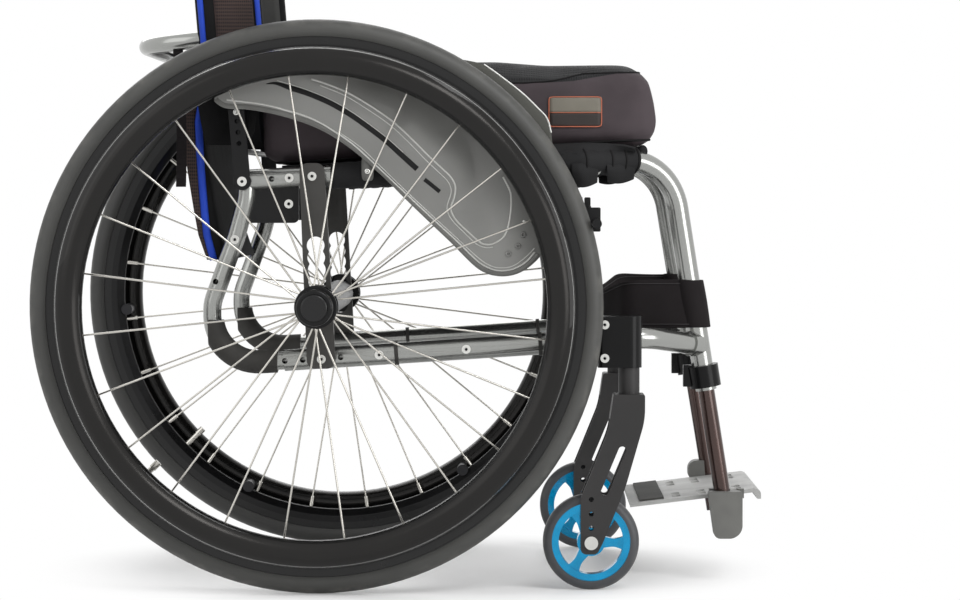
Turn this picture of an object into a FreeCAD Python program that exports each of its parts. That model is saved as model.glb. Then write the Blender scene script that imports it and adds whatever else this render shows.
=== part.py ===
"""Active wheelchair with a rigid welded frame.

Millimetres, +X forward, +Y the sitter's left, +Z up, floor at z = 0.
Sizes along X are given from the rear axle, and every piece is moved forward by axle_x at the end,
so that the origin lies under the middle of the whole chair.
Paired pieces are drawn for the left side and mirrored for the right.
"""
import FreeCAD, Part
import math
import os
from FreeCAD import Vector

# Driving sizes of the chair
wheel_radius = 295.0
tyre_section = 25.0
tyre_height = 18.0
wheel_offset = 38.0
caster_offset = 21.0
rail_half = 203.0
leg_half = 145.0
axle_z = wheel_radius
caster_radius = 50.0
foot_reach = 467.0
back_top_z = 860.0
run_gap = 0.05
soft_gap = 0.3
overrun = 5.0

# Rear wheel
rim_flange_height = 9.0
rim_shoulder_depth = 15.0
rim_depth = 23.0
rim_half = 10.0
rim_apex_half = 5.0
rim_wall = 2.0
tyre_lip_gap = 0.3
handrim_inset = 43.5
handrim_width = 29.5
handrim_thick = 16.0
handrim_end_r = 6.0
handrim_out = 36.0
tab_count = 6
tab_r = 6.5
tab_inset = 43.0
tab_inner_out = -9.0
tab_angle = 4.4
spoke_count = 24
spoke_r = 1.0
spoke_angle = 6.9
spoke_sweep = 12.0
nipple_r = 2.2
nipple_length = 12.0
spoke_end_gap = 0.4
valve_r = 3.0
valve_cap_r = 3.8
valve_cap_length = 9.0
valve_length = 26.0
valve_angle = 224.5
flange_r = 22.0
flange_half = 2.0
flange_out = 15.0
barrel_r = 17.0
barrel_end = 22.0
cap_r = 18.7
cap_out = 44.0
hub_tunnel_r = 9.0
wheel_bearing_r = 14.3
wheel_bearing_width = 9.0
button_r = 13.7
button_out = 48.0
button_thick = 7.0
button_travel = 4.0
button_stem_r = 3.0
button_stem_length = 21.0
button_clear = 0.3
recess_floor_out = 36.5
pin_r = 6.35
pin_out = 36.0

# Axle tube, receivers and slotted plates
axle_tube_r = 16.0
axle_tube_wall = 2.5
plate_offset = 19.0
plate_thick = 7.0
plate_top_z = 443.0
plate_bottom_z = 229.5
plate_top_half = 13.0
plate_bottom_half = 15.0
plate_lean_share = 0.0468
plate_corner_r = 9.0
slot_half = 7.5
scallop_r = 9.3
scallop_pitch = 12.5
scallops_below = 1
scallops_above = 5
receiver_flange_r = 13.0
receiver_flange_thick = 6.0
receiver_neck_r = 8.4
receiver_plug_length = 24.0
boss_r = 9.0
plate_bolt_top_z = 429.3

# Seat rails with the front tubes
rail_r = 11.2
rail_bore_r = 9.4
rail_rear_x = -76.0
rail_rear_z = 425.2
rail_slope_share = 0.0533
rail_taper_x = 270.0
rail_taper_bend_r = 80.0
front_corner_x = 367.5
front_corner_half = 155.0
front_bend_r = 60.0
front_tube_x = 402.6
front_tube_z = 229.8
front_tube_end_z = 203.5
cross_tube_x = 285.0
cross_tube_r = 9.5
cross_tube_wall = 2.0
cross_tube_drop = 6.0

# Rear tube and lower tube of each side
rear_tube_r = 9.5
rear_tube_bore_r = 7.7
rear_top_z = 407.0
rear_knee_x = -86.8
rear_knee_z = 367.0
rear_heel_x = -112.3
rear_heel_z = 297.0
rear_corner_x = -112.3
rear_corner_z = 232.9
rear_knee_bend_r = 60.0
rear_heel_bend_r = 40.0
rear_corner_bend_r = 48.0
lower_r = 11.15
lower_bore_r = 9.35
lower_rear_x = -37.0
lower_rear_z = 237.0
lower_turn_x = 340.0
lower_turn_z = 261.4
lower_end_z = 251.0
lower_turn_bend_r = 45.0
weld_r = 13.0
weld_length = 5.0
spare_hole_r = 3.0
spare_holes = ((-108.2, 319.6), (-17.2, 238.0), (22.3, 240.8), (-36.0, 236.9))
rail_hole_x = -49.4

# Rubber sleeves on the frame
sleeve_r = 12.3
sleeve_rear_x = -104.0
sleeve_front_x = -44.0
band_r = 12.3
band_width = 4.0
band_places = (78.2, 228.5)

# Frame bolts
bolt_head_r = 4.6
bolt_head_height = 3.2
bolt_shank_r = 3.0
rail_bolt_x = -30.9
rear_bolt_x = -87.7
rear_bolt_z = 363.5
lower_bolt_places = (62.5, 153.2)
socket_r = 2.1
socket_depth = 1.8

# Caster housings, forks and wheels
stem_x = 322.4
housing_top_z = 284.0
housing_bottom_z = 231.0
housing_rear_x = 290.0
housing_r = 13.2
housing_clamp_reach = 15.0
housing_bolt_x = 297.0
housing_bolt_length = 6.0
housing_bolts_z = (275.7, 241.0)
housing_clamp_bottom_z = 240.0
stem_bearing_r = 9.5
stem_bearing_height = 7.0
stem_r = 5.0
stem_top_gap = 6.0
stem_cap_wall = 4.0
collar_r = 11.0
fork_top_z = 203.6
crown_height = 26.0
crown_front_x = 338.5
crown_rear_x = 306.0
fork_inner_half = 16.0
fork_arm_thick = 5.0
caster_x = 283.0
fork_corner_r = 6.0
fork_eye_r = 12.0
fork_rear_x = 272.0
fork_heel_z = 96.0
fork_waist_front = (318.5, 108.0)
fork_shoulder_rear = (300.5, 166.0)
fork_bend_r = 80.0
fork_slot_half = 4.0
fork_slot_top = (315.0, 146.0)
fork_slot_bottom = (297.0, 103.0)
fork_hole_r = 2.6
fork_holes_z = (95.0, 80.0, 65.0)
caster_tyre_half = 12.0
caster_tyre_inner_r = 40.8
caster_tyre_corner_r = 8.0
caster_rim_inner_r = 33.5
caster_rim_half = 9.0
caster_hub_r = 14.5
caster_hub_half = 11.0
caster_web_half = 4.5
caster_bearing_r = 11.0
caster_bearing_width = 7.0
caster_spokes = 3
caster_spoke_angle = -3.0
caster_spoke_root_half = 6.0
caster_spoke_waist_half = 4.0
caster_spoke_tip_half = 10.0
caster_axle_r = 4.0
caster_nut_r = 7.0
caster_nut_thick = 4.0
caster_spacer_r = 6.0

# Footrest
clamp_top_z = 229.7
clamp_bottom_z = 206.9
clamp_r = 16.5
clamp_ear_length = 24.0
clamp_ear_half = 6.5
foot_tube_r = 8.7
foot_tube_bore_r = 7.2
foot_tube_top_z = 262.0
foot_tube_bottom_z = 52.0
plate_rear_x = 327.0
plate_rear_z = 80.0
foot_slope = 7.0
foot_thick = 4.0
foot_left_y = 128.0
foot_hinge_y = -124.0
foot_edge_gap = 6.5
foot_lip_drop = 6.0
foot_slot_half = 4.6
foot_slot_length = 17.0
foot_slot_places = (51.0, 78.5, 117.0)
foot_slot_sides = (60.0, 90.0)
foot_pad_thick = 2.0
foot_pad_width = 26.0
foot_pad_place = 24.0
foot_pad_border = 10.0
knuckle_r = 5.0
hinge_pin_r = 2.5
knuckle_start = 92.0
knuckle_length = 22.0
ear_length = 7.0
hinge_rear_x = 408.5
hinge_front_x = 445.0
hinge_top_z = 96.0
hinge_bottom_z = 46.0
hinge_outer_half = 156.0
hinge_corner_r = 7.0
hook_top_z = 108.0
hook_bottom_z = 84.0
hook_rear_x = 401.0
hook_front_x = 438.0
hook_tongue_y = 114.0
hook_tongue_thick = 4.0
hook_corner_r = 10.0

# Calf strap
strap_top_z = 320.0
strap_bottom_z = 270.0
strap_thick = 3.0
strap_loop_r = 15.4
strap_side_half = 157.0
strap_front_x = 392.0
strap_turn_x = 322.0
strap_back_x = 298.0
strap_back_half = 96.0
strap_bend_r = 30.0
strap_back_drop = 14.0

# Side guard
guard_offset = 27.5
guard_thick = 3.0
guard_inset = 37.0
guard_front_angle = 19.0
guard_rear_angle = 115.5
guard_ridge = 7.0
guard_pocket_depth = 1.0
guard_boss_r = 7.0
guard_boss_places = (95.0, 165.0)
guard_slot_shares = ((-0.3721, 0.8895), (0.1279, 0.7326), (0.4767, 0.4651))
guard_slot_width = 6.0
guard_hole_r = 2.4
guard_lower_shares = (
    (-0.403, 0.806, 0.03),
    (0.020, 0.717, 0.45),
    (0.667, 0.070, 0.19),
    (0.830, 0.105, 0.13),
    (0.915, 0.236, 0.10),
)
guard_hole_shares = ((0.8256, 0.3411), (0.8217, 0.2907), (0.8012, 0.2403), (0.7624, 0.2085))

# Seat sling and cushion
sling_thick = 2.6
sling_wrap_front_x = 322.0
sling_wrap_rear_x = 12.0
sling_sheet_rear_x = -40.0
sling_cut_gap = 1.0
flap_start = 20.0
flap_length = 34.0
flap_drop = 22.0
cushion_half = 198.0
cushion_rear_x = -72.0
cushion_front_x = 352.0
cushion_top_z = 549.5
cushion_crown = 3.0
cushion_side_bulge = 5.0
cushion_nose = 26.0
cushion_station_shares = (
    (0.0, 0.50, 0.55, 1.20),
    (0.02, 0.30, 0.24, 0.70),
    (0.045, 0.21, 0.10, 0.42),
    (0.085, 0.00, 0.05, 0.28),
    (0.20, 0.05, 0.01, 0.15),
    (0.35, 0.14, 0.00, 0.06),
    (0.48, 0.20, 0.00, 0.00),
    (0.59, 0.18, 0.00, 0.00),
    (0.72, 0.11, 0.00, 0.14),
    (0.82, 0.05, 0.01, 0.12),
    (0.90, 0.00, 0.02, 0.11),
    (0.95, 0.06, 0.05, 0.24),
    (0.975, 0.14, 0.08, 0.58),
    (0.99, 0.26, 0.15, 1.35),
    (1.0, 0.45, 0.30, 2.30),
)

# Backrest
pivot_x = -79.5
pivot_z = 423.9
recline = 4.8
bracket_inner_y = 215.5
bracket_thick = 5.5
bracket_half = 8.3
bracket_end_r = 9.2
bracket_reach = 86.0
bracket_holes = (39.8, 51.3, 62.9)
bracket_bolt = 71.8
pivot_bolt_r = 3.4
pivot_head_r = 5.0
bracket_hole_r = 2.6
cane_half = 206.0
cane_r = 9.5
cane_bore_r = 7.9
cane_start = 48.0
release_rod_reach = 32.0
release_rod_r = 3.0
bow_reach = 150.5
bow_depth = 93.0
bow_r = 9.0
bow_bend_r = 62.0
wing_start = 88.0
wing_front = 35.0
wing_rear = 34.0
wing_inner_y = 193.5
wing_outer_y = 218.5
wing_corner_r = 9.0
panel_thick = 11.0
back_top_gap = 10.0
skirt_half = 188.0
skirt_thick = 26.0
skirt_edge_r = 2.0
skirt_bend_r = 56.0
skirt_rear_line = ((-130.0, 560.0), (-146.0, 487.0), (-129.0, 389.0), (-114.0, 340.0))
lock_plate_half_thick = 3.0
lock_plate_rear_x = -78.0
lock_plate_front_x = -21.5
lock_plate_bottom_z = 380.7
lock_plate_corner_r = 6.0
lock_bolt_x = -31.9
lock_bolt_z = 400.6

# Wheel brakes
brake_clamp_x = 238.0
brake_clamp_half = 10.0
brake_clamp_r = 15.6
brake_plate_inner_y = 215.8
brake_plate_thick = 5.2
brake_side_gap = 0.5
brake_arm_thick = 5.0
shoe_pivot_x = 256.0
shoe_pivot_z = 404.0
shoe_r = 5.0
shoe_angle = 16.55
shoe_outer_y = 281.0
shoe_holder_back = 9.0
shoe_holder_front = 4.5
shoe_holder_below = 8.5
shoe_holder_above = 16.5
shoe_holder_width = 22.0
shoe_tab_top = 27.0
shoe_tab_back = 12.0
shoe_tab_front = 5.5
lever_pivot_x = 236.0
lever_pivot_z = 415.0
lever_tip_x = 182.0
lever_tip_z = 388.0
brake_link_half = 6.0
brake_pin_r = 2.5

axle_x = (wheel_radius - foot_reach) / 2
plate_inner_y = rail_half + plate_offset
plate_outer_y = plate_inner_y + plate_thick
wheel_track_half = plate_outer_y + wheel_offset
pin_inner_y = rail_half
rim_outer_r = wheel_radius - tyre_height
rim_seat_r = rim_outer_r - rim_flange_height
rim_shoulder_r = rim_outer_r - rim_shoulder_depth
rim_inner_r = rim_outer_r - rim_depth
handrim_r = wheel_radius - handrim_inset
tab_ring_r = wheel_radius - tab_inset
guard_inner_y = rail_half + guard_offset
guard_outer_r = wheel_radius - guard_inset
caster_half = rail_half + caster_offset
housing_inner_y = rail_half - housing_clamp_reach
housing_outer_y = caster_half + housing_r
sling_r = rail_r + soft_gap + sling_thick
rim_side_out = rim_half - rim_wall


def rail_height(x):
    """Height of the seat rail's centre line at a place along the chair."""
    return rail_rear_z + (x - rail_rear_x) * rail_slope_share


def lower_height(x):
    """Height of the lower tube's centre line at a place along the chair."""
    rise_share = (lower_turn_z - lower_rear_z) / (lower_turn_x - lower_rear_x)
    return lower_rear_z + (x - lower_rear_x) * rise_share


def between(start, end, share):
    """Point that lies a share of the way from start to end."""
    return start + (end - start) * share


def rounded_edges(points, radii, closed=False):
    """Straight edges between points, with a tangent arc of the given radius at each corner."""
    count = len(points)
    ends = []
    for i, point in enumerate(points):
        radius = radii[i]
        if radius == 0 or (not closed and i in (0, count - 1)):
            ends.append((point, point, None))
            continue
        back = (points[i - 1] - point).normalize()
        ahead = (points[(i + 1) % count] - point).normalize()
        half_angle = math.acos(max(-1, min(1, back.dot(ahead)))) / 2
        reach = radius / math.tan(half_angle)
        middle = (back + ahead).normalize()
        centre_distance = radius / math.sin(half_angle)
        arc_middle = point + middle * (centre_distance - radius)
        ends.append((point + back * reach, point + ahead * reach, arc_middle))
    edges = []
    for i in range(count):
        arrive, leave, middle = ends[i]
        if middle is not None:
            edges.append(Part.Arc(arrive, middle, leave).toShape())
        if i + 1 < count or closed:
            following = ends[(i + 1) % count][0]
            if leave.distanceToPoint(following) > run_gap / 100:
                edges.append(Part.LineSegment(leave, following).toShape())
    return edges


def sweep(points, radii, radius):
    """Solid round bar along a bent path."""
    path = Part.Wire(rounded_edges(points, radii))
    start = Part.Wire(Part.makeCircle(radius, points[0], points[1] - points[0]))
    return path.makePipeShell([start], True, False)


def rod(start, end, radius):
    """Straight round bar between two points."""
    return Part.makeCylinder(radius, (end - start).Length, start, end - start)


def cross_rod(x, z, radius, y_from, y_to):
    """Straight round bar parallel to the axle."""
    return Part.makeCylinder(radius, y_to - y_from, Vector(x, y_from, z), Vector(0, 1, 0))


def side_plate(places, radii, y_from, y_to):
    """Flat plate standing fore and aft, from the corners of its outline and their radii."""
    points = [Vector(x, y_from, z) for x, z in places]
    face = Part.Face(Part.Wire(rounded_edges(points, radii, True)))
    return face.extrude(Vector(0, y_to - y_from, 0))


def link_plate(start, end, half, y_from, y_to):
    """Flat link with round ends about two places."""
    first = Vector(start[0], y_from, start[1])
    second = Vector(end[0], y_from, end[1])
    along = (second - first).normalize()
    side = Vector(-along.z, 0, along.x) * half
    tip_one = first - along * half
    tip_two = second + along * half
    edges = [
        Part.LineSegment(first + side, second + side).toShape(),
        Part.Arc(second + side, tip_two, second - side).toShape(),
        Part.LineSegment(second - side, first - side).toShape(),
        Part.Arc(first - side, tip_one, first + side).toShape(),
    ]
    return Part.Face(Part.Wire(edges)).extrude(Vector(0, y_to - y_from, 0))


def turned(places, radii, centre_x, centre_z, centre_y):
    """Ring turned about a line parallel to the axle, from (radius, outward) places of its section."""
    points = [Vector(centre_x + r, centre_y + out, centre_z) for r, out in places]
    face = Part.Face(Part.Wire(rounded_edges(points, radii, True)))
    return face.revolve(Vector(centre_x, 0, centre_z), Vector(0, 1, 0), 360)


def polar(centre_x, centre_z, radius, angle, y):
    """Place on a circle about a line parallel to the axle."""
    turn = math.radians(angle)
    return Vector(centre_x + radius * math.cos(turn), y, centre_z + radius * math.sin(turn))


def mirrored(shape):
    """The same piece for the right side."""
    return shape.mirror(Vector(0, 0, 0), Vector(0, 1, 0))


def both(shape):
    """A left piece together with its right twin."""
    return [shape, mirrored(shape)]


def reclined(shape):
    """Turn a piece drawn upright over the back's pivot to the back's angle."""
    turned_shape = shape.copy()
    turned_shape.rotate(Vector(pivot_x, 0, pivot_z), Vector(0, 1, 0), -recline)
    return turned_shape


def write(name, solids):
    """Write one node, moved to the chair's origin."""
    loose = []
    for shape in solids if isinstance(solids, list) else [solids]:
        loose.extend(shape.Solids)
    node = Part.makeCompound(loose) if len(loose) > 1 else loose[0]
    node = node.copy()
    node.translate(Vector(axle_x, 0, 0))
    if not node.isValid():
        print("invalid shape:", name)
    node.exportStep("parts/" + name + ".step")
    print(name, len(loose), round(node.Volume))


def write_pair(name, shape):
    """Write a left node and its right twin."""
    write(name + "_left", shape)
    write(name + "_right", mirrored(shape))


def tyre():
    """Slick tyre seated between the rim's flanges."""
    middle_r = wheel_radius - tyre_section / 2
    lip_r = rim_outer_r + tyre_lip_gap
    lip_out = math.sqrt((tyre_section / 2) ** 2 - (middle_r - lip_r) ** 2)
    places = [(lip_r, -lip_out), (wheel_radius, 0), (lip_r, lip_out), (lip_r, rim_side_out)]
    places += [(rim_seat_r, rim_side_out), (rim_seat_r, -rim_side_out), (lip_r, -rim_side_out)]
    points = [Vector(r, wheel_track_half + out, axle_z) for r, out in places]
    edges = [Part.Arc(points[0], points[1], points[2]).toShape()]
    corners = points[2:] + points[:1]
    edges += [Part.LineSegment(a, b).toShape() for a, b in zip(corners, corners[1:])]
    face = Part.Face(Part.Wire(edges))
    return face.revolve(Vector(0, 0, axle_z), Vector(0, 1, 0), 360)


def rim():
    """Deep rim with a channel for the tyre."""
    half = [(rim_inner_r, rim_apex_half), (rim_shoulder_r, rim_half), (rim_outer_r, rim_half)]
    half += [(rim_outer_r, rim_side_out), (rim_seat_r, rim_side_out)]
    places = half + [(r, -out) for r, out in reversed(half)]
    corner = rim_wall
    radii = [corner, corner, 0, 0, 0, 0, 0, 0, corner, corner]
    return turned(places, radii, 0, axle_z, wheel_track_half)


def valve():
    """Valve stem with its cap, pointing at the hub."""
    base = polar(0, axle_z, rim_inner_r, valve_angle, wheel_track_half)
    neck = polar(0, axle_z, rim_inner_r - valve_length + valve_cap_length, valve_angle, wheel_track_half)
    tip = polar(0, axle_z, rim_inner_r - valve_length, valve_angle, wheel_track_half)
    return rod(base, neck, valve_r).fuse(rod(neck, tip, valve_cap_r)).cut(rim())


def handrim():
    """Oval push ring: four tangent arcs turned about the axle."""
    long_half = handrim_width / 2
    short_half = handrim_thick / 2
    reach = long_half - handrim_end_r
    side_r = (reach ** 2 + short_half ** 2 - handrim_end_r ** 2) / (2 * (short_half - handrim_end_r))
    lean = math.atan2(side_r - short_half, reach)
    join_r = reach + handrim_end_r * math.cos(lean)
    join_out = handrim_end_r * math.sin(lean)
    centre_y = wheel_track_half + handrim_out

    def place(along, out):
        return Vector(handrim_r + along, centre_y + out, axle_z)

    edges = [
        Part.Arc(place(-join_r, join_out), place(0, short_half), place(join_r, join_out)).toShape(),
        Part.Arc(place(join_r, join_out), place(long_half, 0), place(join_r, -join_out)).toShape(),
        Part.Arc(place(join_r, -join_out), place(0, -short_half), place(-join_r, -join_out)).toShape(),
        Part.Arc(place(-join_r, -join_out), place(-long_half, 0), place(-join_r, join_out)).toShape(),
    ]
    return Part.Face(Part.Wire(edges)).revolve(Vector(0, 0, axle_z), Vector(0, 1, 0), 360)


def handrim_tabs(rim_solid, handrim_solid):
    """Posts that carry the push ring on the rim."""
    posts = []
    for i in range(tab_count):
        place = polar(0, axle_z, tab_ring_r, tab_angle + 360 * i / tab_count, 0)
        inner_y = wheel_track_half + tab_inner_out
        post = cross_rod(place.x, place.z, tab_r, inner_y, wheel_track_half + handrim_out)
        post = post.cut(rim_solid).cut(handrim_solid)
        posts.append(max(post.Solids, key=lambda solid: solid.Volume))
    return posts


def spokes():
    """Steel spokes in pairs that part from nearly one place on the hub, each with its nipple."""
    step = 360 / spoke_count
    root_r = flange_r + spoke_end_gap
    bars = []
    for i in range(spoke_count):
        flange = flange_out if i % 2 else -flange_out
        lean = spoke_sweep if (i // 2) % 2 else -spoke_sweep
        angle = spoke_angle + step * i
        root = polar(0, axle_z, root_r, angle - lean, wheel_track_half + flange)
        tip = polar(0, axle_z, rim_inner_r - spoke_end_gap, angle, wheel_track_half)
        neck = tip + (root - tip).normalize() * nipple_length
        bars.append(rod(root, neck, spoke_r).fuse(rod(neck, tip, nipple_r)))
    return bars


def hub():
    """Hub shell with two flanges, two bearing seats and the recess of the release button."""
    outline = [
        (wheel_bearing_r, -barrel_end),
        (barrel_r, -barrel_end),
        (barrel_r, -flange_out - flange_half),
        (flange_r, -flange_out - flange_half),
        (flange_r, -flange_out + flange_half),
        (barrel_r, -flange_out + flange_half),
        (barrel_r, flange_out - flange_half),
        (flange_r, flange_out - flange_half),
        (flange_r, flange_out + flange_half),
        (cap_r, flange_out + flange_half),
        (cap_r, cap_out),
        (button_r + button_clear, cap_out),
        (button_r + button_clear, recess_floor_out),
        (hub_tunnel_r, recess_floor_out),
        (hub_tunnel_r, barrel_end),
        (wheel_bearing_r, barrel_end),
        (wheel_bearing_r, barrel_end - wheel_bearing_width),
        (hub_tunnel_r, barrel_end - wheel_bearing_width),
        (hub_tunnel_r, wheel_bearing_width - barrel_end),
        (wheel_bearing_r, wheel_bearing_width - barrel_end),
    ]
    radii = [0] * len(outline)
    radii[10] = (cap_r - button_r) / 2
    return turned(outline, radii, 0, axle_z, wheel_track_half)


def wheel_bearings():
    """The hub's two ball bearings, each as one closed ring."""
    rings = []
    for start in (-barrel_end, barrel_end - wheel_bearing_width):
        y_from = wheel_track_half + start
        outer = cross_rod(0, axle_z, wheel_bearing_r - run_gap, y_from, y_from + wheel_bearing_width)
        bore = cross_rod(0, axle_z, pin_r + run_gap, y_from - overrun, y_from + wheel_bearing_width + overrun)
        rings.append(outer.cut(bore))
    return rings


def quick_release_pin():
    """Removable axle pin, bored for the button's stem."""
    pin = cross_rod(0, axle_z, pin_r, pin_inner_y, wheel_track_half + pin_out)
    stem_end = wheel_track_half + button_out - button_thick - button_stem_length
    bore_from = stem_end - button_travel - overrun
    bore = cross_rod(0, axle_z, button_stem_r + run_gap, bore_from, wheel_track_half + pin_out + overrun)
    return pin.cut(bore)


def release_button():
    """Press button in the middle of the hub with its stem."""
    outer_y = wheel_track_half + button_out
    inner_y = outer_y - button_thick
    head = cross_rod(0, axle_z, button_r, inner_y, outer_y)
    rounded = [edge for edge in head.Edges if abs(edge.BoundBox.YMin - outer_y) < run_gap]
    head = head.makeFillet(button_thick / 4, rounded[:1])
    return head.fuse(cross_rod(0, axle_z, button_stem_r, inner_y - button_stem_length, inner_y))


def side_rail_points():
    """Corners of the bent tube that is seat rail and front tube in one."""
    rear = Vector(rail_rear_x, rail_half, rail_rear_z)
    taper = Vector(rail_taper_x, rail_half, rail_height(rail_taper_x))
    corner = Vector(front_corner_x, front_corner_half, rail_height(front_corner_x))
    foot = Vector(front_tube_x, leg_half, front_tube_z)
    end = between(corner, foot, (corner.z - front_tube_end_z) / (corner.z - foot.z))
    return [rear, taper, corner, end]


def front_axis(z):
    """Place on the front tube's centre line at a height."""
    corner, end = side_rail_points()[2:]
    return between(corner, end, (corner.z - z) / (corner.z - end.z))


def seat_frame_form(radius):
    """Outer form of seat rail and front tube, as a bar of the given radius."""
    return sweep(side_rail_points(), [0, rail_taper_bend_r, front_bend_r, 0], radius)


def seat_frame():
    """Seat rail and front tube, closed at the rear by a round elbow."""
    bar = seat_frame_form(rail_r).fuse(Part.makeSphere(rail_r, side_rail_points()[0]))
    tube = bar.cut(seat_frame_form(rail_bore_r))
    hole_end = rail_half + rail_r + overrun
    return tube.cut(cross_rod(rail_hole_x, rail_height(rail_hole_x), spare_hole_r, rail_half, hole_end))


def rear_tube_points():
    """Corners of the bent tube at the rear of each side."""
    return [
        Vector(rail_rear_x, rail_half, rail_rear_z),
        Vector(rail_rear_x, rail_half, rear_top_z),
        Vector(rear_knee_x, rail_half, rear_knee_z),
        Vector(rear_heel_x, rail_half, rear_heel_z),
        Vector(rear_corner_x, rail_half, rear_corner_z),
        Vector(lower_rear_x, rail_half, lower_rear_z),
    ]


def rear_tube_form(radius):
    """Outer form of the rear tube, as a bar of the given radius."""
    bend = rear_knee_bend_r
    return sweep(rear_tube_points(), [0, bend, bend, rear_heel_bend_r, rear_corner_bend_r, 0], radius)


def lower_tube_form(radius):
    """Outer form of the lower tube, as a bar of the given radius."""
    points = [
        Vector(lower_rear_x, rail_half, lower_rear_z),
        Vector(lower_turn_x, rail_half, lower_turn_z),
        front_axis(lower_end_z),
    ]
    return sweep(points, [0, lower_turn_bend_r, 0], radius)


def lower_frame(front_form):
    """Rear tube and lower tube welded end to end, with a weld collar at the front tube."""
    collar_end = front_axis(lower_end_z)
    turn = Vector(lower_turn_x, rail_half, lower_turn_z)
    along = (turn - collar_end).normalize()
    collar = rod(collar_end, collar_end + along * (rail_r + weld_length), weld_r)
    outside = rear_tube_form(rear_tube_r).fuse(lower_tube_form(lower_r)).fuse(collar)
    head = Part.makeSphere(rail_r, side_rail_points()[0])
    outside = outside.cut(front_form).cut(head)
    tube = outside.cut(rear_tube_form(rear_tube_bore_r)).cut(lower_tube_form(lower_bore_r))
    tube = max(tube.Solids, key=lambda solid: solid.Volume)
    for x, z in spare_holes:
        tube = tube.cut(cross_rod(x, z, spare_hole_r, rail_half, rail_half + lower_r + overrun))
    return tube


def frame_sleeves():
    """Rubber sleeve over the lower rear bend and two thin bands on the lower tube."""
    ring = rear_tube_form(sleeve_r).cut(rear_tube_form(rear_tube_r))
    height = rear_heel_z - rear_corner_z
    margin = sleeve_r + overrun
    corner = Vector(sleeve_rear_x - sleeve_r, rail_half - margin, rear_corner_z - margin)
    window = Part.makeBox(sleeve_front_x - corner.x, 2 * margin, height, corner)
    pieces = [max(ring.common(window).Solids, key=lambda solid: solid.Volume)]
    for x in band_places:
        start = Vector(x, rail_half, lower_height(x))
        end = Vector(x + band_width, rail_half, lower_height(x + band_width))
        pieces.append(rod(start, end, band_r).cut(lower_tube_form(lower_r)))
    return pieces


def cross_tube(front_forms):
    """Tube welded between the seat rails under the sling."""
    z = rail_height(cross_tube_x) - cross_tube_drop
    bar = cross_rod(cross_tube_x, z, cross_tube_r, -rail_half, rail_half)
    for form in front_forms:
        bar = bar.cut(form)
    bar = max(bar.Solids, key=lambda solid: solid.Volume)
    return bar.cut(cross_rod(cross_tube_x, z, cross_tube_r - cross_tube_wall, -rail_half, rail_half))


def axle_tube():
    """Straight tube between the two axle plates."""
    outer = cross_rod(0, axle_z, axle_tube_r, -plate_inner_y, plate_inner_y)
    return outer.cut(cross_rod(0, axle_z, axle_tube_r - axle_tube_wall, -plate_inner_y, plate_inner_y))


def axle_receiver():
    """Sleeve that passes the plate's slot and plugs the axle tube."""
    plug_r = axle_tube_r - axle_tube_wall - run_gap
    plug = cross_rod(0, axle_z, plug_r, plate_inner_y - receiver_plug_length, plate_inner_y)
    neck = cross_rod(0, axle_z, receiver_neck_r, plate_inner_y, plate_outer_y)
    flange = cross_rod(0, axle_z, receiver_flange_r, plate_outer_y, plate_outer_y + receiver_flange_thick)
    bore_end = plate_outer_y + receiver_flange_thick + overrun
    bore = cross_rod(0, axle_z, pin_r + run_gap, plate_inner_y - receiver_plug_length - overrun, bore_end)
    return plug.fuse(neck).fuse(flange).cut(bore)


def plate_middle(z):
    """Place along the chair of the axle plate's middle line at a height."""
    return -(z - axle_z) * plate_lean_share


def axle_plate(tube_forms):
    """Slotted plate that hangs from the rail to the lower tube, with its two spacers."""
    top = plate_middle(plate_top_z)
    bottom = plate_middle(plate_bottom_z)
    places = [
        (top - plate_top_half, plate_top_z),
        (top + plate_top_half, plate_top_z),
        (bottom + plate_bottom_half, plate_bottom_z),
        (bottom - plate_bottom_half, plate_bottom_z),
    ]
    plate = side_plate(places, [plate_corner_r] * 4, plate_inner_y, plate_outer_y)
    y_from = plate_inner_y - overrun
    y_to = plate_outer_y + overrun
    low_z = axle_z - scallops_below * scallop_pitch
    high_z = axle_z + scallops_above * scallop_pitch
    slot = link_plate((plate_middle(low_z), low_z), (plate_middle(high_z), high_z), slot_half, y_from, y_to)
    for i in range(-scallops_below, scallops_above + 1):
        z = axle_z + i * scallop_pitch
        slot = slot.fuse(cross_rod(plate_middle(z), z, scallop_r, y_from, y_to))
    plate = plate.cut(slot)
    for x, z in plate_bolt_places():
        plate = plate.fuse(cross_rod(x, z, boss_r, rail_half, plate_inner_y))
    for form in tube_forms:
        plate = plate.cut(form)
    plate = max(plate.Solids, key=lambda solid: solid.Volume)
    for x, z in plate_bolt_places():
        plate = plate.cut(cross_rod(x, z, bolt_shank_r + run_gap, rail_half, y_to))
    return plate


def plate_bolt_places():
    """Upper and lower bolt of the axle plate."""
    lower_x = plate_middle(plate_bottom_z)
    return [(plate_middle(plate_bolt_top_z), plate_bolt_top_z), (lower_x, lower_height(lower_x))]


def bolt(x, z, seat_y, shank_from):
    """Round headed bolt across the chair with a hexagon socket."""
    head = cross_rod(x, z, bolt_head_r, seat_y, seat_y + bolt_head_height)
    top_y = seat_y + bolt_head_height
    socket = Part.makePolygon(
        [polar(x, z, socket_r, 60 * i, top_y - socket_depth) for i in range(7)]
    )
    head = head.cut(Part.Face(socket).extrude(Vector(0, socket_depth + overrun, 0)))
    return head.fuse(cross_rod(x, z, bolt_shank_r, shank_from, seat_y))


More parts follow.
